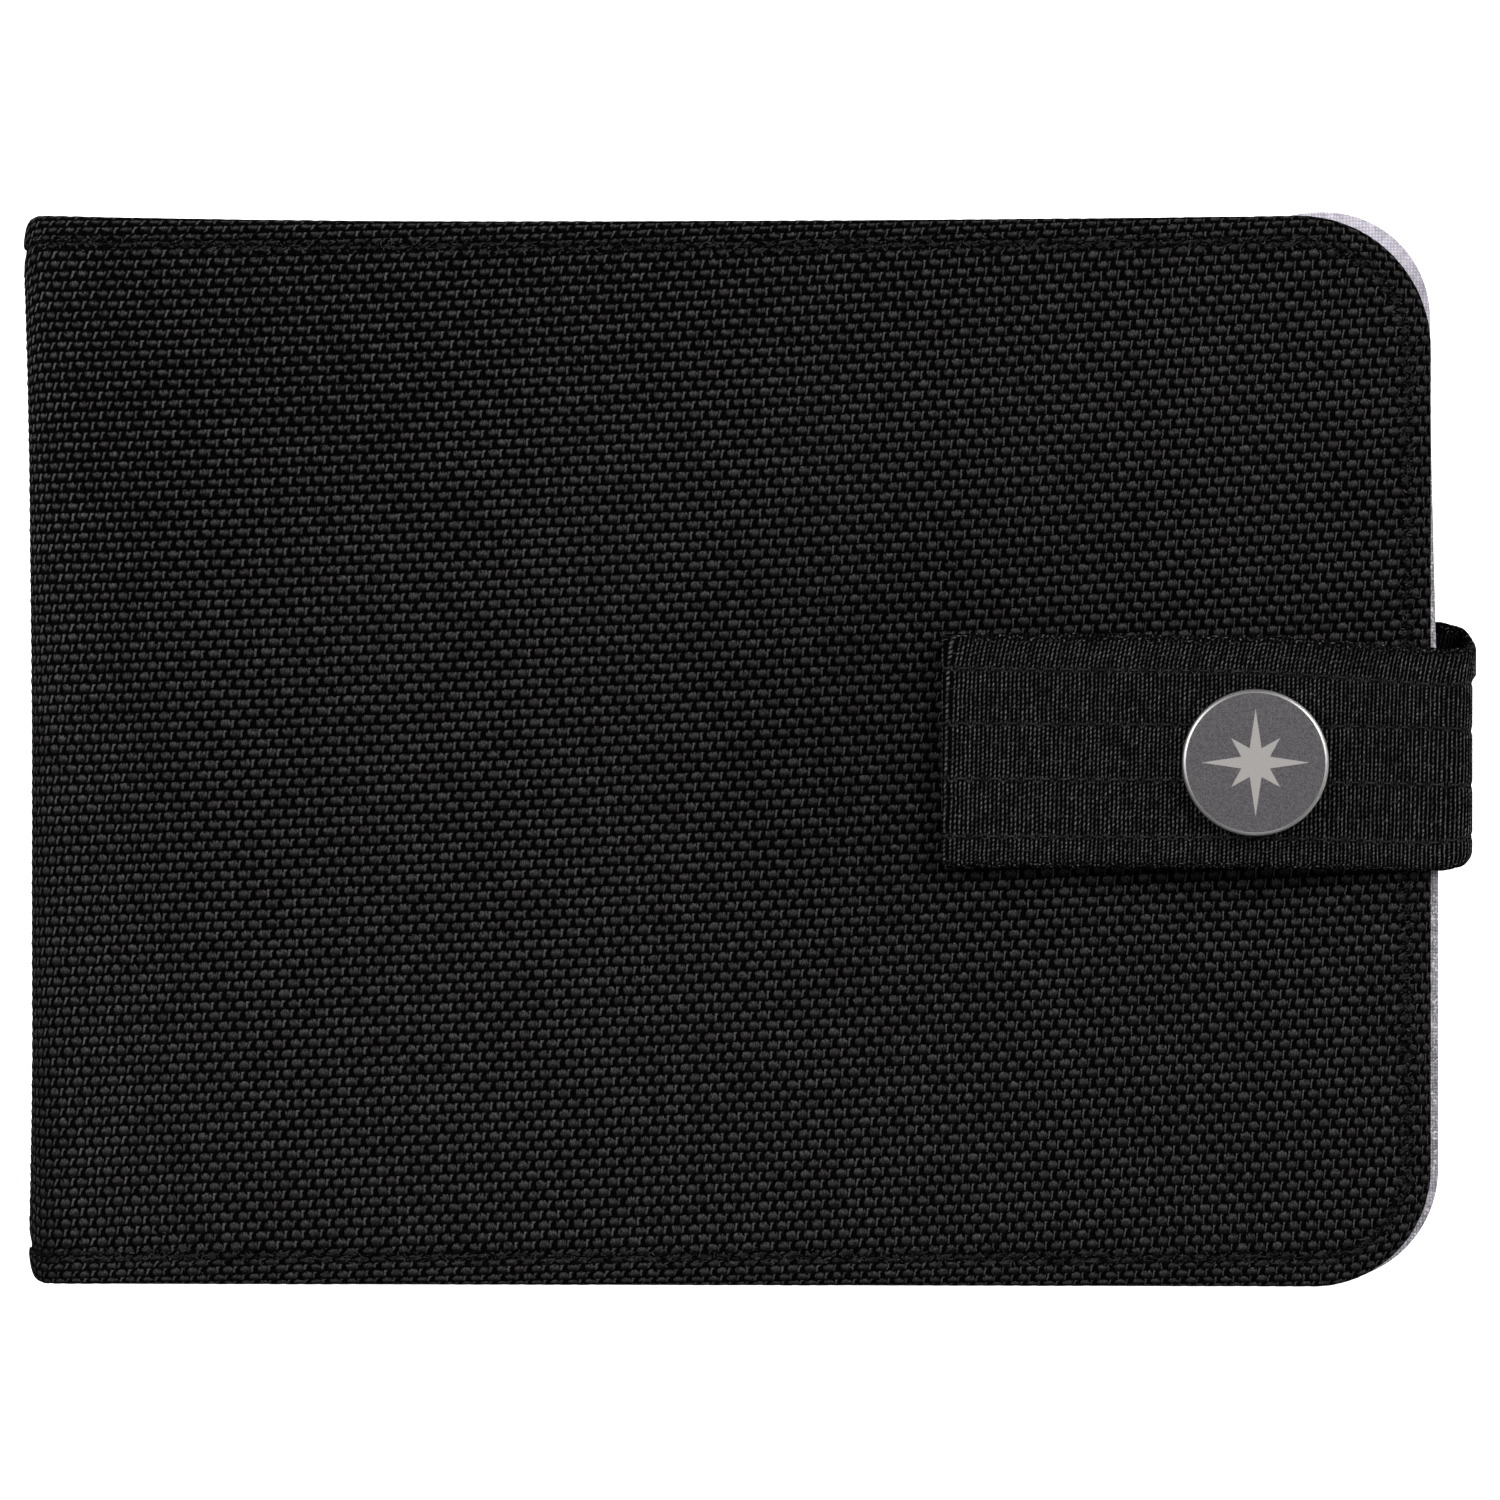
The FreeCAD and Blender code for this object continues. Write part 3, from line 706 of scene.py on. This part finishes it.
def lining_material():
    """Pale lilac lining, a fine plain cloth, with painted shade and painted glints of fuzz along the edges
    that show past the cover.
    """
    g = Graph("lining_cloth", roughness=0.8, specular=0.15)
    place = g.place()
    painted_edge_shade = g.attribute("weave")[2]
    bend = g.noise(place, 260.0, 2.0)
    wave = {"Vector": place, "Scale": 950.0, "Distortion": 3.0}
    weave = g.node("ShaderNodeTexWave", wave) * g.node("ShaderNodeTexWave", wave, bands_direction="Y")
    patch = g.noise(place, 1500.0, 4.0, 0.65)
    share = g.smooth(patch * 0.65 + weave * 0.28 + bend * 0.25, 0.3, 0.84)
    # Painted glints of fuzz, and painted shade, along the edges that show past the cover
    fuzz_glint = g.smooth(g.noise(place, 3200.0, 2.0), 0.56, 0.66) * painted_edge_shade
    cloth = g.mix(share, (0.285, 0.265, 0.306, 1.0), (0.65, 0.62, 0.69, 1.0))
    shaded_edge_colour = g.mix(share * 0.5 + fuzz_glint * 0.5, (0.12, 0.112, 0.13, 1.0), (0.88, 0.84, 0.89, 1.0))
    g.colour(g.mix(painted_edge_shade, cloth, shaded_edge_colour))
    g.bump(weave * 0.6 + patch, 0.06, 0.6)
    return g.material


def tape_material():
    """Black grosgrain: fine ribs across the tape, and a smoother woven edge."""
    g = Graph("grosgrain_tape", roughness=0.7, specular=0.05)
    s, inwards, _ = g.attribute("weave")
    fibre = g.noise(g.vector(s * 3.0, inwards * 4.0), 1.0, 3.0, 0.6)
    ridge = g.near(g.math("FRACT", s) - 0.5, 0.46, 0.12)
    light = ridge * (0.3 + g.smooth(fibre, 0.3, 0.7)) * 0.024
    g.colour(g.mix(1.0, BLACK, light + 0.003))
    g.bump(ridge + fibre * 0.5, 0.05, 0.6)
    return g.material


def plain_material(name, colour, roughness, metallic=0.0, grain=0.0, scale=2000.0, specular=0.4):
    """A plain finish with a little grain in its colour and surface."""
    g = Graph(name, roughness, metallic, specular)
    spots = g.noise(g.place(), scale, 3.0, 0.6)
    dark = tuple(c * (1 - grain) for c in colour[:3]) + (1.0,)
    light = tuple(min(c * (1 + grain), 1) for c in colour[:3]) + (1.0,)
    g.colour(g.mix(g.smooth(spots, 0.3, 0.7), dark, light))
    g.bump(spots, 0.02, 0.4)
    return g.material


def paint(made, material):
    """Gives a piece its material."""
    made.data.materials.clear()
    made.data.materials.append(material)
    return made


nylon = ballistic_material()
webbing = webbing_material()
lining = lining_material()
board = plain_material("stiffener_board", (0.06, 0.06, 0.063, 1), 0.8, grain=0.2, scale=1500)
grosgrain = tape_material()
CAP_COLOUR = (0.093, 0.088, 0.0945, 1)
gunmetal = plain_material("gunmetal", CAP_COLOUR, 0.42, 0.35, grain=0.45, scale=6500, specular=0.6)
bright_rim = plain_material("polished_rim", (0.36, 0.35, 0.345, 1), 0.45, 1.0, grain=0.04, scale=3500)
thread = plain_material("black_thread", (0.02, 0.019, 0.02, 1), 0.7, grain=0.6, scale=4000, specular=0.1)
fibre = plain_material("loose_fibre", (0.034, 0.032, 0.033, 1), 0.6, grain=0.95, scale=2200, specular=0.1)
nickel = plain_material("snap_nickel", (0.24, 0.235, 0.225, 1), 0.36, 1.0, grain=0.12, scale=5000)
etched = plain_material("etched_mark", (0.285, 0.272, 0.262, 1), 0.5, grain=0.1, scale=9000, specular=0.3)


# Shell and lining
def bend_with_spine(made):
    """Bakes a piece's placement into its mesh; the piece is already laid round the spine."""
    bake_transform(made)


cover_cloth = shell_cloth("cover_cloth", COVER_OUTLINE, 1, cover_slack)
back_cloth = shell_cloth("back_cloth", BACK_OUTLINE, -1, back_slack)
for cloth, panel in ((cover_cloth, "cover"), (back_cloth, "back")):
    paint(cloth, nylon)
    bend_with_spine(cloth)
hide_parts("cover_shell")
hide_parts("back_shell", "spine_shell")

COVER_INSIDE = inset_outline(COVER_OUTLINE, 0.5, 0.5, 0.5)
cover_lining = lining_cloth("cover_lining_cloth", COVER_INSIDE, 1, COVER_FACE + 0.2, cover_slack)
back_lining = lining_cloth("back_lining_cloth", LINING_OUTLINE, -1, BACK_FACE, back_slack)
for cloth, panel in ((cover_lining, "cover"), (back_lining, "back")):
    paint(cloth, lining)
    bend_with_spine(cloth)
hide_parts("cover_lining")
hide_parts("back_lining", "spine_lining")

# Strap. Its path runs in the XZ plane from the middle of its turn
Z_STRAP = Z_TOP + 0.85
X_STRAP = 74.2
Z_ANCHOR = 1.4
Z_SNAP = 16.0  # the snap holds the webbing off the cover
Z_END = 14.45  # upper layer of the folded end
Z_TUCK = 13.5  # the layer tucked under it
X_END = 20.15
TURN_RADIUS = 2.85
FOLD_RADIUS = 0.46
TURN = (X_STRAP, (Z_STRAP + Z_ANCHOR) / 2)
FLAP_PATH = (
    TURN, (X_STRAP, Z_STRAP), (67.25, Z_STRAP), (59.75, Z_SNAP), (44.75, Z_SNAP), (35.75, Z_END),
    (X_END, Z_END), (X_END, Z_TUCK), (34.75, Z_TUCK),
)
WRAP_PATH = (TURN, (X_STRAP, Z_ANCHOR), (57.0, Z_ANCHOR))
flap = strap_piece("strap_flap_webbing", FLAP_PATH, (TURN_RADIUS, 8, 5, 5, 8, FOLD_RADIUS, FOLD_RADIUS), 1)
wrap = strap_piece("strap_wrap_webbing", WRAP_PATH, (TURN_RADIUS,), -1)
paint(flap, webbing)
paint(wrap, webbing)
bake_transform(flap)
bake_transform(wrap)
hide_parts("strap_flap")
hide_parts("strap_wrap", "strap_anchor")


# Snap cap with a generic compass star on its face
def lathe(name, profile, centre, segments, materials, bright):
    """Turns a profile of (radius, z) about the vertical line through centre.

    bright is the band of the profile's steps that has the second finish."""
    angles = np.arange(segments) * 2 * math.pi / segments
    x, y = centre[:2]
    points = [(x + r * math.cos(a), y + r * math.sin(a), z) for r, z in profile for a in angles]
    corners = list(range(len(points)))
    faces = tube_faces(len(profile), segments).tolist()
    faces += [corners[-segments:], corners[:segments][::-1]]
    mesh = bpy.data.meshes.new(name)
    mesh.from_pydata([tuple(c * MM for c in p) for p in points], [], faces)
    for material in materials:
        mesh.materials.append(material)
    for face in mesh.polygons:
        face.use_smooth = len(face.vertices) == 4
        if bright[0] <= face.index // segments < bright[1]:
            face.material_index = 1
    return add_object(name, mesh)


def arc(centre_r, centre_z, radius, start, end, count):
    """Points of a profile along an arc, with its angles in degrees."""
    return [
        (centre_r + radius * math.cos(math.radians(t)), centre_z + radius * math.sin(math.radians(t)))
        for t in np.linspace(start, end, count)
    ]


CAP_TOP = CAP_HIGH[2]
RIM = 0.5  # radius of the edge round the cap's face
RIM_CENTRE = (CAP_RADIUS - RIM, CAP_TOP - RIM)
low_edge = [(2.0, CAP_LOW[2] + 0.05), (CAP_RADIUS - 1.2, CAP_TOP - 1.75)]
low_edge += arc(CAP_RADIUS - 0.35, CAP_TOP - 1.3, 0.35, -90, 0, 6)
low_edge += arc(*RIM_CENTRE, RIM, 0, 15, 3)
rim = arc(*RIM_CENTRE, RIM, 20, 72, 9)
face = arc(*RIM_CENTRE, RIM, 76, 90, 5) + [(3.0, CAP_TOP)]
polished = (len(low_edge), len(low_edge + rim))
cap = lathe("snap_cap_turned", low_edge + rim + face, SNAP, 160, [gunmetal, bright_rim], polished)
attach(cap, "strap_flap")
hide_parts("snap_cap")


def star_points(radii, count):
    """Corners of a star whose points take turns between the radii."""
    steps = count * len(radii)
    corners = []
    for i in range(steps):
        angle = i * 2 * math.pi / steps
        radius = radii[i % len(radii)]
        corners.append((radius * math.sin(angle), radius * math.cos(angle)))
    return corners


def flat_mark(name, corners, centre, z):
    """A flat star, as one fan of triangles."""
    points = [(centre[0] * MM, centre[1] * MM, z * MM)]
    points += [((centre[0] + x) * MM, (centre[1] + y) * MM, z * MM) for x, y in corners]
    count = len(corners)
    mesh = bpy.data.meshes.new(name)
    mesh.from_pydata(points, [], [(0, 1 + (i + 1) % count, 1 + i) for i in range(count)])
    return add_object(name, mesh)


mark = flat_mark("compass_star", star_points((5.6, 1.6, 3.6, 1.6), 4), SNAP, CAP_TOP + 0.012)
paint(mark, etched)
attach(mark, "strap_flap")


# Thread
def seam_line(outline, step):
    """Evenly spaced points along a panel's seam, from the spine along the top and back along the foot."""
    right, bottom, top, low_radius, high_radius = outline
    line = [(SEAM_START, top)]
    corners = ((right, top, high_radius, 90), (right, bottom, low_radius, 0))
    for corner_x, corner_y, radius, first in corners:
        side = 1 if first == 90 else -1
        for t in np.linspace(first, first - 90, 30):
            x = corner_x - radius + radius * math.cos(math.radians(t))
            y = corner_y - side * radius + radius * math.sin(math.radians(t))
            line.append((x, y))
    line.append((SEAM_START, bottom))
    line = np.array(line)
    distance = np.append(0, np.cumsum(np.linalg.norm(np.diff(line, axis=0), axis=1)))
    wanted = np.arange(0.5, distance[-1], step)
    return np.stack([np.interp(wanted, distance, line[:, k]) for k in (0, 1)], axis=-1)


def threads(name, lines, radii, sides=6):
    """One mesh of thin tubes along lines of points. The lines take turns between the radii."""
    points, faces, total = [], [], 0
    turn = np.arange(sides)[:, None] * 2 * math.pi / sides
    for line, radius in zip(lines, itertools.cycle(radii)):
        line = np.array(line, float)
        ahead = np.gradient(line, axis=0)
        ahead /= np.linalg.norm(ahead, axis=1)[:, None] + 1e-12
        side = np.cross(ahead, (0, 0, 1.0))
        side /= np.linalg.norm(side, axis=1)[:, None] + 1e-9
        up = np.cross(side, ahead)
        taper = np.ones(len(line))
        taper[[0, -1]] = 0.35
        arms = side[:, None] * np.cos(turn) + up[:, None] * np.sin(turn)
        points.append((line[:, None] + radius * taper[:, None, None] * arms).reshape(-1, 3))
        faces.append(tube_faces(len(line), sides) + total)
        total += len(line) * sides
    return add_mesh(name, np.concatenate(points), np.concatenate(faces))


def stitches(name, outline, side, slack):
    """Lockstitches drawn down into the cloth along a panel's seam. Each dips at both ends."""
    ends = seam_line(inset_outline(outline, *SEAM_INSETS), 2.9)
    lines = []
    for start, end in zip(ends, ends[1:]):
        turn = random.uniform(-0.12, 0.12, 2)
        t = np.linspace(0.06, 0.94, 7)[:, None]
        flat = start + (end - start) * t + turn * np.sin(math.pi * t)
        height = -0.2 - 0.5 * (2 * t[:, 0] - 1) ** 2 - SEAM_DEPTH
        x, z = bend_round_spine(flat[:, 0], height, side)
        lines.append(np.stack(slack(x, flat[:, 1], z), axis=-1))
    return threads(name, lines, [0.14])


def loose_fibres(name, outline, side, slack, spacing, tacks):
    """Short filaments that the needle pulled up along a panel's seam.

    tacks are the back-tacked places, each with its number of filaments and its spread."""
    along = seam_line(inset_outline(outline, *SEAM_INSETS), spacing)
    middles = [along + random.normal(0, 0.5, along.shape)]
    for at, count, spread in tacks:
        middles.append(np.array(at) + random.normal(0, 1.0, (count, 2)) * (spread, 0.5))
    lines = []
    for at in np.concatenate(middles):
        heading = random.normal(0.4, 0.9)
        length = random.uniform(0.2, 0.6)
        curl = random.uniform(-2.0, 2.0)
        t = np.linspace(-0.5, 0.5, 6)
        angle = heading + curl * t
        flat = at + length * np.stack([np.cos(angle) * t, np.sin(angle) * t], axis=-1)
        height = random.uniform(-0.32, 0.02) - 0.5 * t * t
        x, z = bend_round_spine(flat[:, 0], height, side)
        lines.append(np.stack(slack(x, flat[:, 1], z), axis=-1))
    return threads(name, lines, [0.02, 0.035, 0.02, 0.025, 0.05], sides=4)


TACKS = (((-59.2, -51.6), 34, 0.5), ((-57.3, -53.4), 16, 0.5), ((-62.9, -51.2), 22, 0.7))
cover_stitches = stitches("cover_stitches", COVER_OUTLINE, 1, cover_slack)
back_stitches = stitches("back_stitches", BACK_OUTLINE, -1, back_slack)
cover_fibres = loose_fibres("cover_seam_fibres", COVER_OUTLINE, 1, cover_slack, 0.24, TACKS)
back_fibres = loose_fibres("back_seam_fibres", BACK_OUTLINE, -1, back_slack, 0.6, TACKS[:1])
SEAM_PIECES = (
    (cover_stitches, thread, "cover"),
    (cover_fibres, fibre, "cover"),
    (back_stitches, thread, "back"),
    (back_fibres, fibre, "back"),
)
for made, material, panel in SEAM_PIECES:
    paint(made, material)
    bend_with_spine(made)


# Sleeve and pockets
class Pocket:
    """A sheet sewn on three sides to the layer behind it, with a tape folded over its mouth.

    mouth is the axis and direction of the open side, and way the direction along z that the face looks in.
    shoulder is the radius of the sewn sides, allowance the width of their seam, and outside how far that
    reaches past the CAD piece's outline. corners are the radii at the left and the right, and wave is how
    far the face waves."""

    def __init__(self, name, body, mouth, way, shoulder, allowance, outside, corners, wave):
        low, high = box(name)
        self.name = name
        self.body = body
        self.axis, self.open_side = mouth
        self.way = way
        self.wave = wave
        self.corners = corners
        self.face = high[2] if way > 0 else low[2]
        self.wall = high[2] - low[2] - 0.1
        self.allowance = allowance
        inset = shoulder + allowance - outside
        self.low, self.high = low[:2] + inset, high[:2] - inset
        if self.open_side > 0:
            self.high[self.axis] = high[self.axis]
        else:
            self.low[self.axis] = low[self.axis]
        turn = np.linspace(0, math.pi / 2, 7)
        self.out = np.append(shoulder * np.sin(turn), [shoulder, shoulder + 0.12, shoulder + allowance])
        self.drop = np.append(shoulder * (1 - np.cos(turn)), [self.wall - 0.12, self.wall, self.wall])
        steps = np.hypot(np.diff(self.out), np.diff(self.drop))
        self.stations = np.append(0, np.cumsum(steps))

    def distance(self, x, y):
        """Distance outside the sheet's face, and the direction outwards. The mouth side has no outside."""
        centre, half = (self.low + self.high) / 2, (self.high - self.low) / 2
        radius = np.where(x > centre[0], self.corners[1], self.corners[0])
        past = []
        for axis, value in enumerate((x, y)):
            offset = value - centre[axis]
            reach = np.abs(offset) - half[axis] + radius
            if axis == self.axis:
                reach = np.where(offset * self.open_side > 0, -99.0, reach)
            past.append(reach)
        across, along = past
        reach_x, reach_y = np.maximum(across, 0), np.maximum(along, 0)
        reach = np.hypot(reach_x, reach_y)
        outer = reach > 0
        distance = np.where(outer, reach, np.maximum(across, along)) - radius
        out_x = np.where(outer, reach_x / (reach + 1e-9), across > along) * np.sign(x - centre[0])
        out_y = np.where(outer, reach_y / (reach + 1e-9), across <= along) * np.sign(y - centre[1])
        return distance, out_x, out_y

    def rise(self, x, y):
        """Gentle waves of the sheet's face, which die out at its sewn sides."""
        crown = ramp(-self.distance(x, y)[0], 0, 20) * abs(self.wave)
        return crown * (0.4 + 0.6 * slow_noise(x * 2, y * 2, 31))

    def marks(self, axis):
        """Grid positions along one axis, close together near its ends."""
        length = self.stations[-1] + 0.3
        first = self.low[axis] - (0 if (axis, -1) == (self.axis, self.open_side) else length)
        last = self.high[axis] + (0 if (axis, 1) == (self.axis, self.open_side) else length)
        middle = np.linspace(first + 8, last - 8, int((last - first) / 1.1))
        ends = np.linspace(0, 8, 33)[:-1]
        return np.concatenate([first + ends, middle, last - ends[::-1]])

    def sheet(self):
        """The pocket's sheet of lining cloth."""
        u, v = np.meshgrid(self.marks(0), self.marks(1))

        def place(a, b, u, v):
            """Where the sheet lies, and its pattern."""
            distance, out_x, out_y = self.distance(u, v)
            past = np.clip(distance, 0, self.stations[-1])
            drop = np.interp(past, self.stations, self.drop)
            move = np.interp(past, self.stations, self.out) - np.maximum(distance, 0)
            down = np.clip(drop / self.wall, 0, 1)
            move = move + 0.1 * self.wall * slow_noise(u * 6, v * 6, 17) * np.sin(math.pi * down)
            z = self.face - self.way * drop + self.way * self.rise(u, v)
            return (u + move * out_x, v + move * out_y, z), (a, b, 0)

        inside = self.stations[-1] + 0.2 - self.distance(u, v)[0]
        return cloth_piece(self.name + "_cloth", (u, v, u, v), place, inside, self.way)

    def tape(self):
        """Grosgrain folded over the mouth, with fine ribs across it."""
        low, high = box(self.name + "_binding")
        along = 1 - self.axis
        reach = (high - low)[self.axis] - TAPE_THICKNESS
        thick = (high - low)[2] - 2 * TAPE_THICKNESS
        turn = np.linspace(0, math.pi, 9)
        fold = thick / 2 + TAPE_THICKNESS
        flat = np.linspace(reach - 0.3, 0.3, 8)
        inwards = np.concatenate([[reach, reach - 0.12], flat, 0.2 - fold * np.sin(turn), [0.6, 1.5]])
        height = np.concatenate([[0.03], np.full(9, TAPE_THICKNESS), fold * np.cos(turn) - thick / 2])
        height = np.append(height, [-thick - TAPE_THICKNESS, -thick - 0.05])
        spots = np.arange(low[along], high[along], TAPE_RIB / 4)
        places, inner = np.meshgrid(spots, inwards, indexing="ij")
        rib = 0.02 * np.cos(2 * math.pi * places / TAPE_RIB)
        x, y = self.from_mouth(places, inner)
        z = self.face + self.way * (height[None] + rib + self.rise(x, y))
        faces = grid_faces(*places.shape, flip=self.way * (1 - 2 * self.axis) < 0)
        return add_mesh(self.name + "_tape", triples(x, y, z), faces, triples(places / TAPE_RIB, inner, 0))

    def from_mouth(self, place, inwards):
        """x and y of a place along the mouth, some way in from its edge."""
        edge = (self.high if self.open_side > 0 else self.low)[self.axis]
        across = edge - self.open_side * inwards
        return (across, place) if self.axis == 0 else (place, across)

    def stitching(self):
        """Lockstitches along the tape and along the three sewn sides."""
        low, high = box(self.name + "_binding")
        along = 1 - self.axis
        reach = (high - low)[self.axis] - TAPE_THICKNESS
        spots = np.arange(low[along] + 0.8, high[along] - 0.8, STITCH)
        tape_row = np.stack(self.from_mouth(spots, 0 * spots + reach - 0.75), axis=-1)
        out = self.stations[-1] - self.allowance * 0.45
        offset = np.interp(out, self.stations, self.out)
        x0, y0 = self.low - offset
        x1, y1 = self.high + offset
        path = [(x0, y1), (x0, y0), (x1, y0), (x1, y1)]
        radii = [self.corners[0] + offset, self.corners[1] + offset]
        if self.axis == 0:
            path = [(x0, y1), (x1, y1), (x1, y0), (x0, y0)]
            radii = radii[::-1]
        side_row = rounded_path(path, radii, STITCH)[0]
        lines = []
        for row, lift in ((tape_row, TAPE_THICKNESS + 0.03), (side_row, 0.03 - self.wall)):
            for start, end in zip(row, row[1:]):
                t = np.linspace(0.08, 0.92, 6)[:, None]
                flat = start + (end - start) * t
                height = lift - 0.35 * (2 * t[:, 0] - 1) ** 4 + self.rise(*flat.T)
                lines.append(np.column_stack([flat, self.face + self.way * height]))
        return threads(self.name + "_stitches", lines, [0.13])

    def flat_size(self):
        """Width and length that the sheet was cut to, in metres."""
        size = self.high - self.low + 2 * self.stations[-1]
        size[self.axis] -= self.stations[-1]
        return tuple(size * MM)


TAPE_THICKNESS = 0.15
TAPE_RIB = 0.5
STITCH = 2.6
POCKETS = [Pocket("passport_sleeve", "back", (0, -1), 1, 0.9, 1.3, 1.3, (1.1, 1.1), 0.2)]
POCKETS += [Pocket("note_pocket", "cover", (1, 1), -1, 0.3, 1.2, 0, (0.5, 9.6), 0.06)]
for name in ("card_pocket_1", "card_pocket_2", "card_pocket_3"):
    POCKETS.append(Pocket(name, "cover", (1, 1), -1, 0.3, 1.2, 0, (0.5, 0.5), 0.08))
for pocket in POCKETS:
    sheet = paint(pocket.sheet(), lining)
    tape = paint(pocket.tape(), grosgrain)
    seam = paint(pocket.stitching(), thread)
    for made in (sheet, tape, seam):
        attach(made, pocket.body)
    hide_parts(pocket.name)
    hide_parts(pocket.name + "_binding")
    pocket.flat_size()

# CAD pieces that keep their own shape
FINISHES = {
    "stiffener_board": (board, "back_stiffener cover_stiffener"),
    "snap_inner_metal": (nickel, "snap_socket snap_stud snap_post"),
}
for slot, (material, names) in FINISHES.items():
    for name in names.split():
        paint(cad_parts[name], material)


# Light, floor and camera, in metres
def add_light(name, place, size, power):
    """A square area light that looks at the wallet."""
    data = bpy.data.lights.new(name, "AREA")
    data.size = size
    data.energy = power
    made = add_object(name, data)
    made.location = place
    made.rotation_euler = (Vector((0, 0, 0.01)) - Vector(place)).to_track_quat("-Z", "Y").to_euler()


add_light("upper_left", (-0.58, 0.27, 0.5), 0.4, 7)
add_light("upper_right", (0.58, 0.3, 0.5), 0.35, 6)
add_light("front", (0.1, -0.6, 0.7), 0.5, 1.0)

world = bpy.data.worlds.new("studio")
world.use_nodes = True
world.node_tree.nodes["Background"].inputs["Color"].default_value = (1, 1, 1, 1)
world.node_tree.nodes["Background"].inputs["Strength"].default_value = 0.2
bpy.context.scene.world = world

FLOOR_REACH = 30  # so that its far edge stays out of the low views
FLOOR_LEVEL = -0.0004  # just under the cloth's lowest yarns
FLOOR_CORNERS = ((-1, -1), (1, -1), (1, 1), (-1, 1))
floor_points = [(x * FLOOR_REACH, y * FLOOR_REACH, FLOOR_LEVEL) for x, y in FLOOR_CORNERS]
floor_mesh = bpy.data.meshes.new("floor")
floor_mesh.from_pydata(floor_points, [], [(0, 1, 2, 3)])
floor = add_object("floor", floor_mesh)
white = Graph("white_table", 0.9)
white.shader.inputs["Base Color"].default_value = (0.8, 0.8, 0.8, 1)
white.shader.inputs["Emission Color"].default_value = (1, 1, 1, 1)
white.shader.inputs["Emission Strength"].default_value = 1.0
floor_mesh.materials.append(white.material)

SENSOR = 36
CAMERA_HEIGHT = 2.5  # over the cover
VIEW_WIDTH = 0.15536  # of the picture, at the cover
camera_data = bpy.data.cameras.new("camera")
camera_data.sensor_width = SENSOR
camera_data.lens = SENSOR * CAMERA_HEIGHT / VIEW_WIDTH
camera_data.clip_end = 80
camera = add_object("camera", camera_data)
camera.location = (-0.0002, -0.0001, CAMERA_HEIGHT + Z_TOP * MM)
bpy.context.scene.camera = camera
bpy.context.scene.view_settings.view_transform = "Standard"
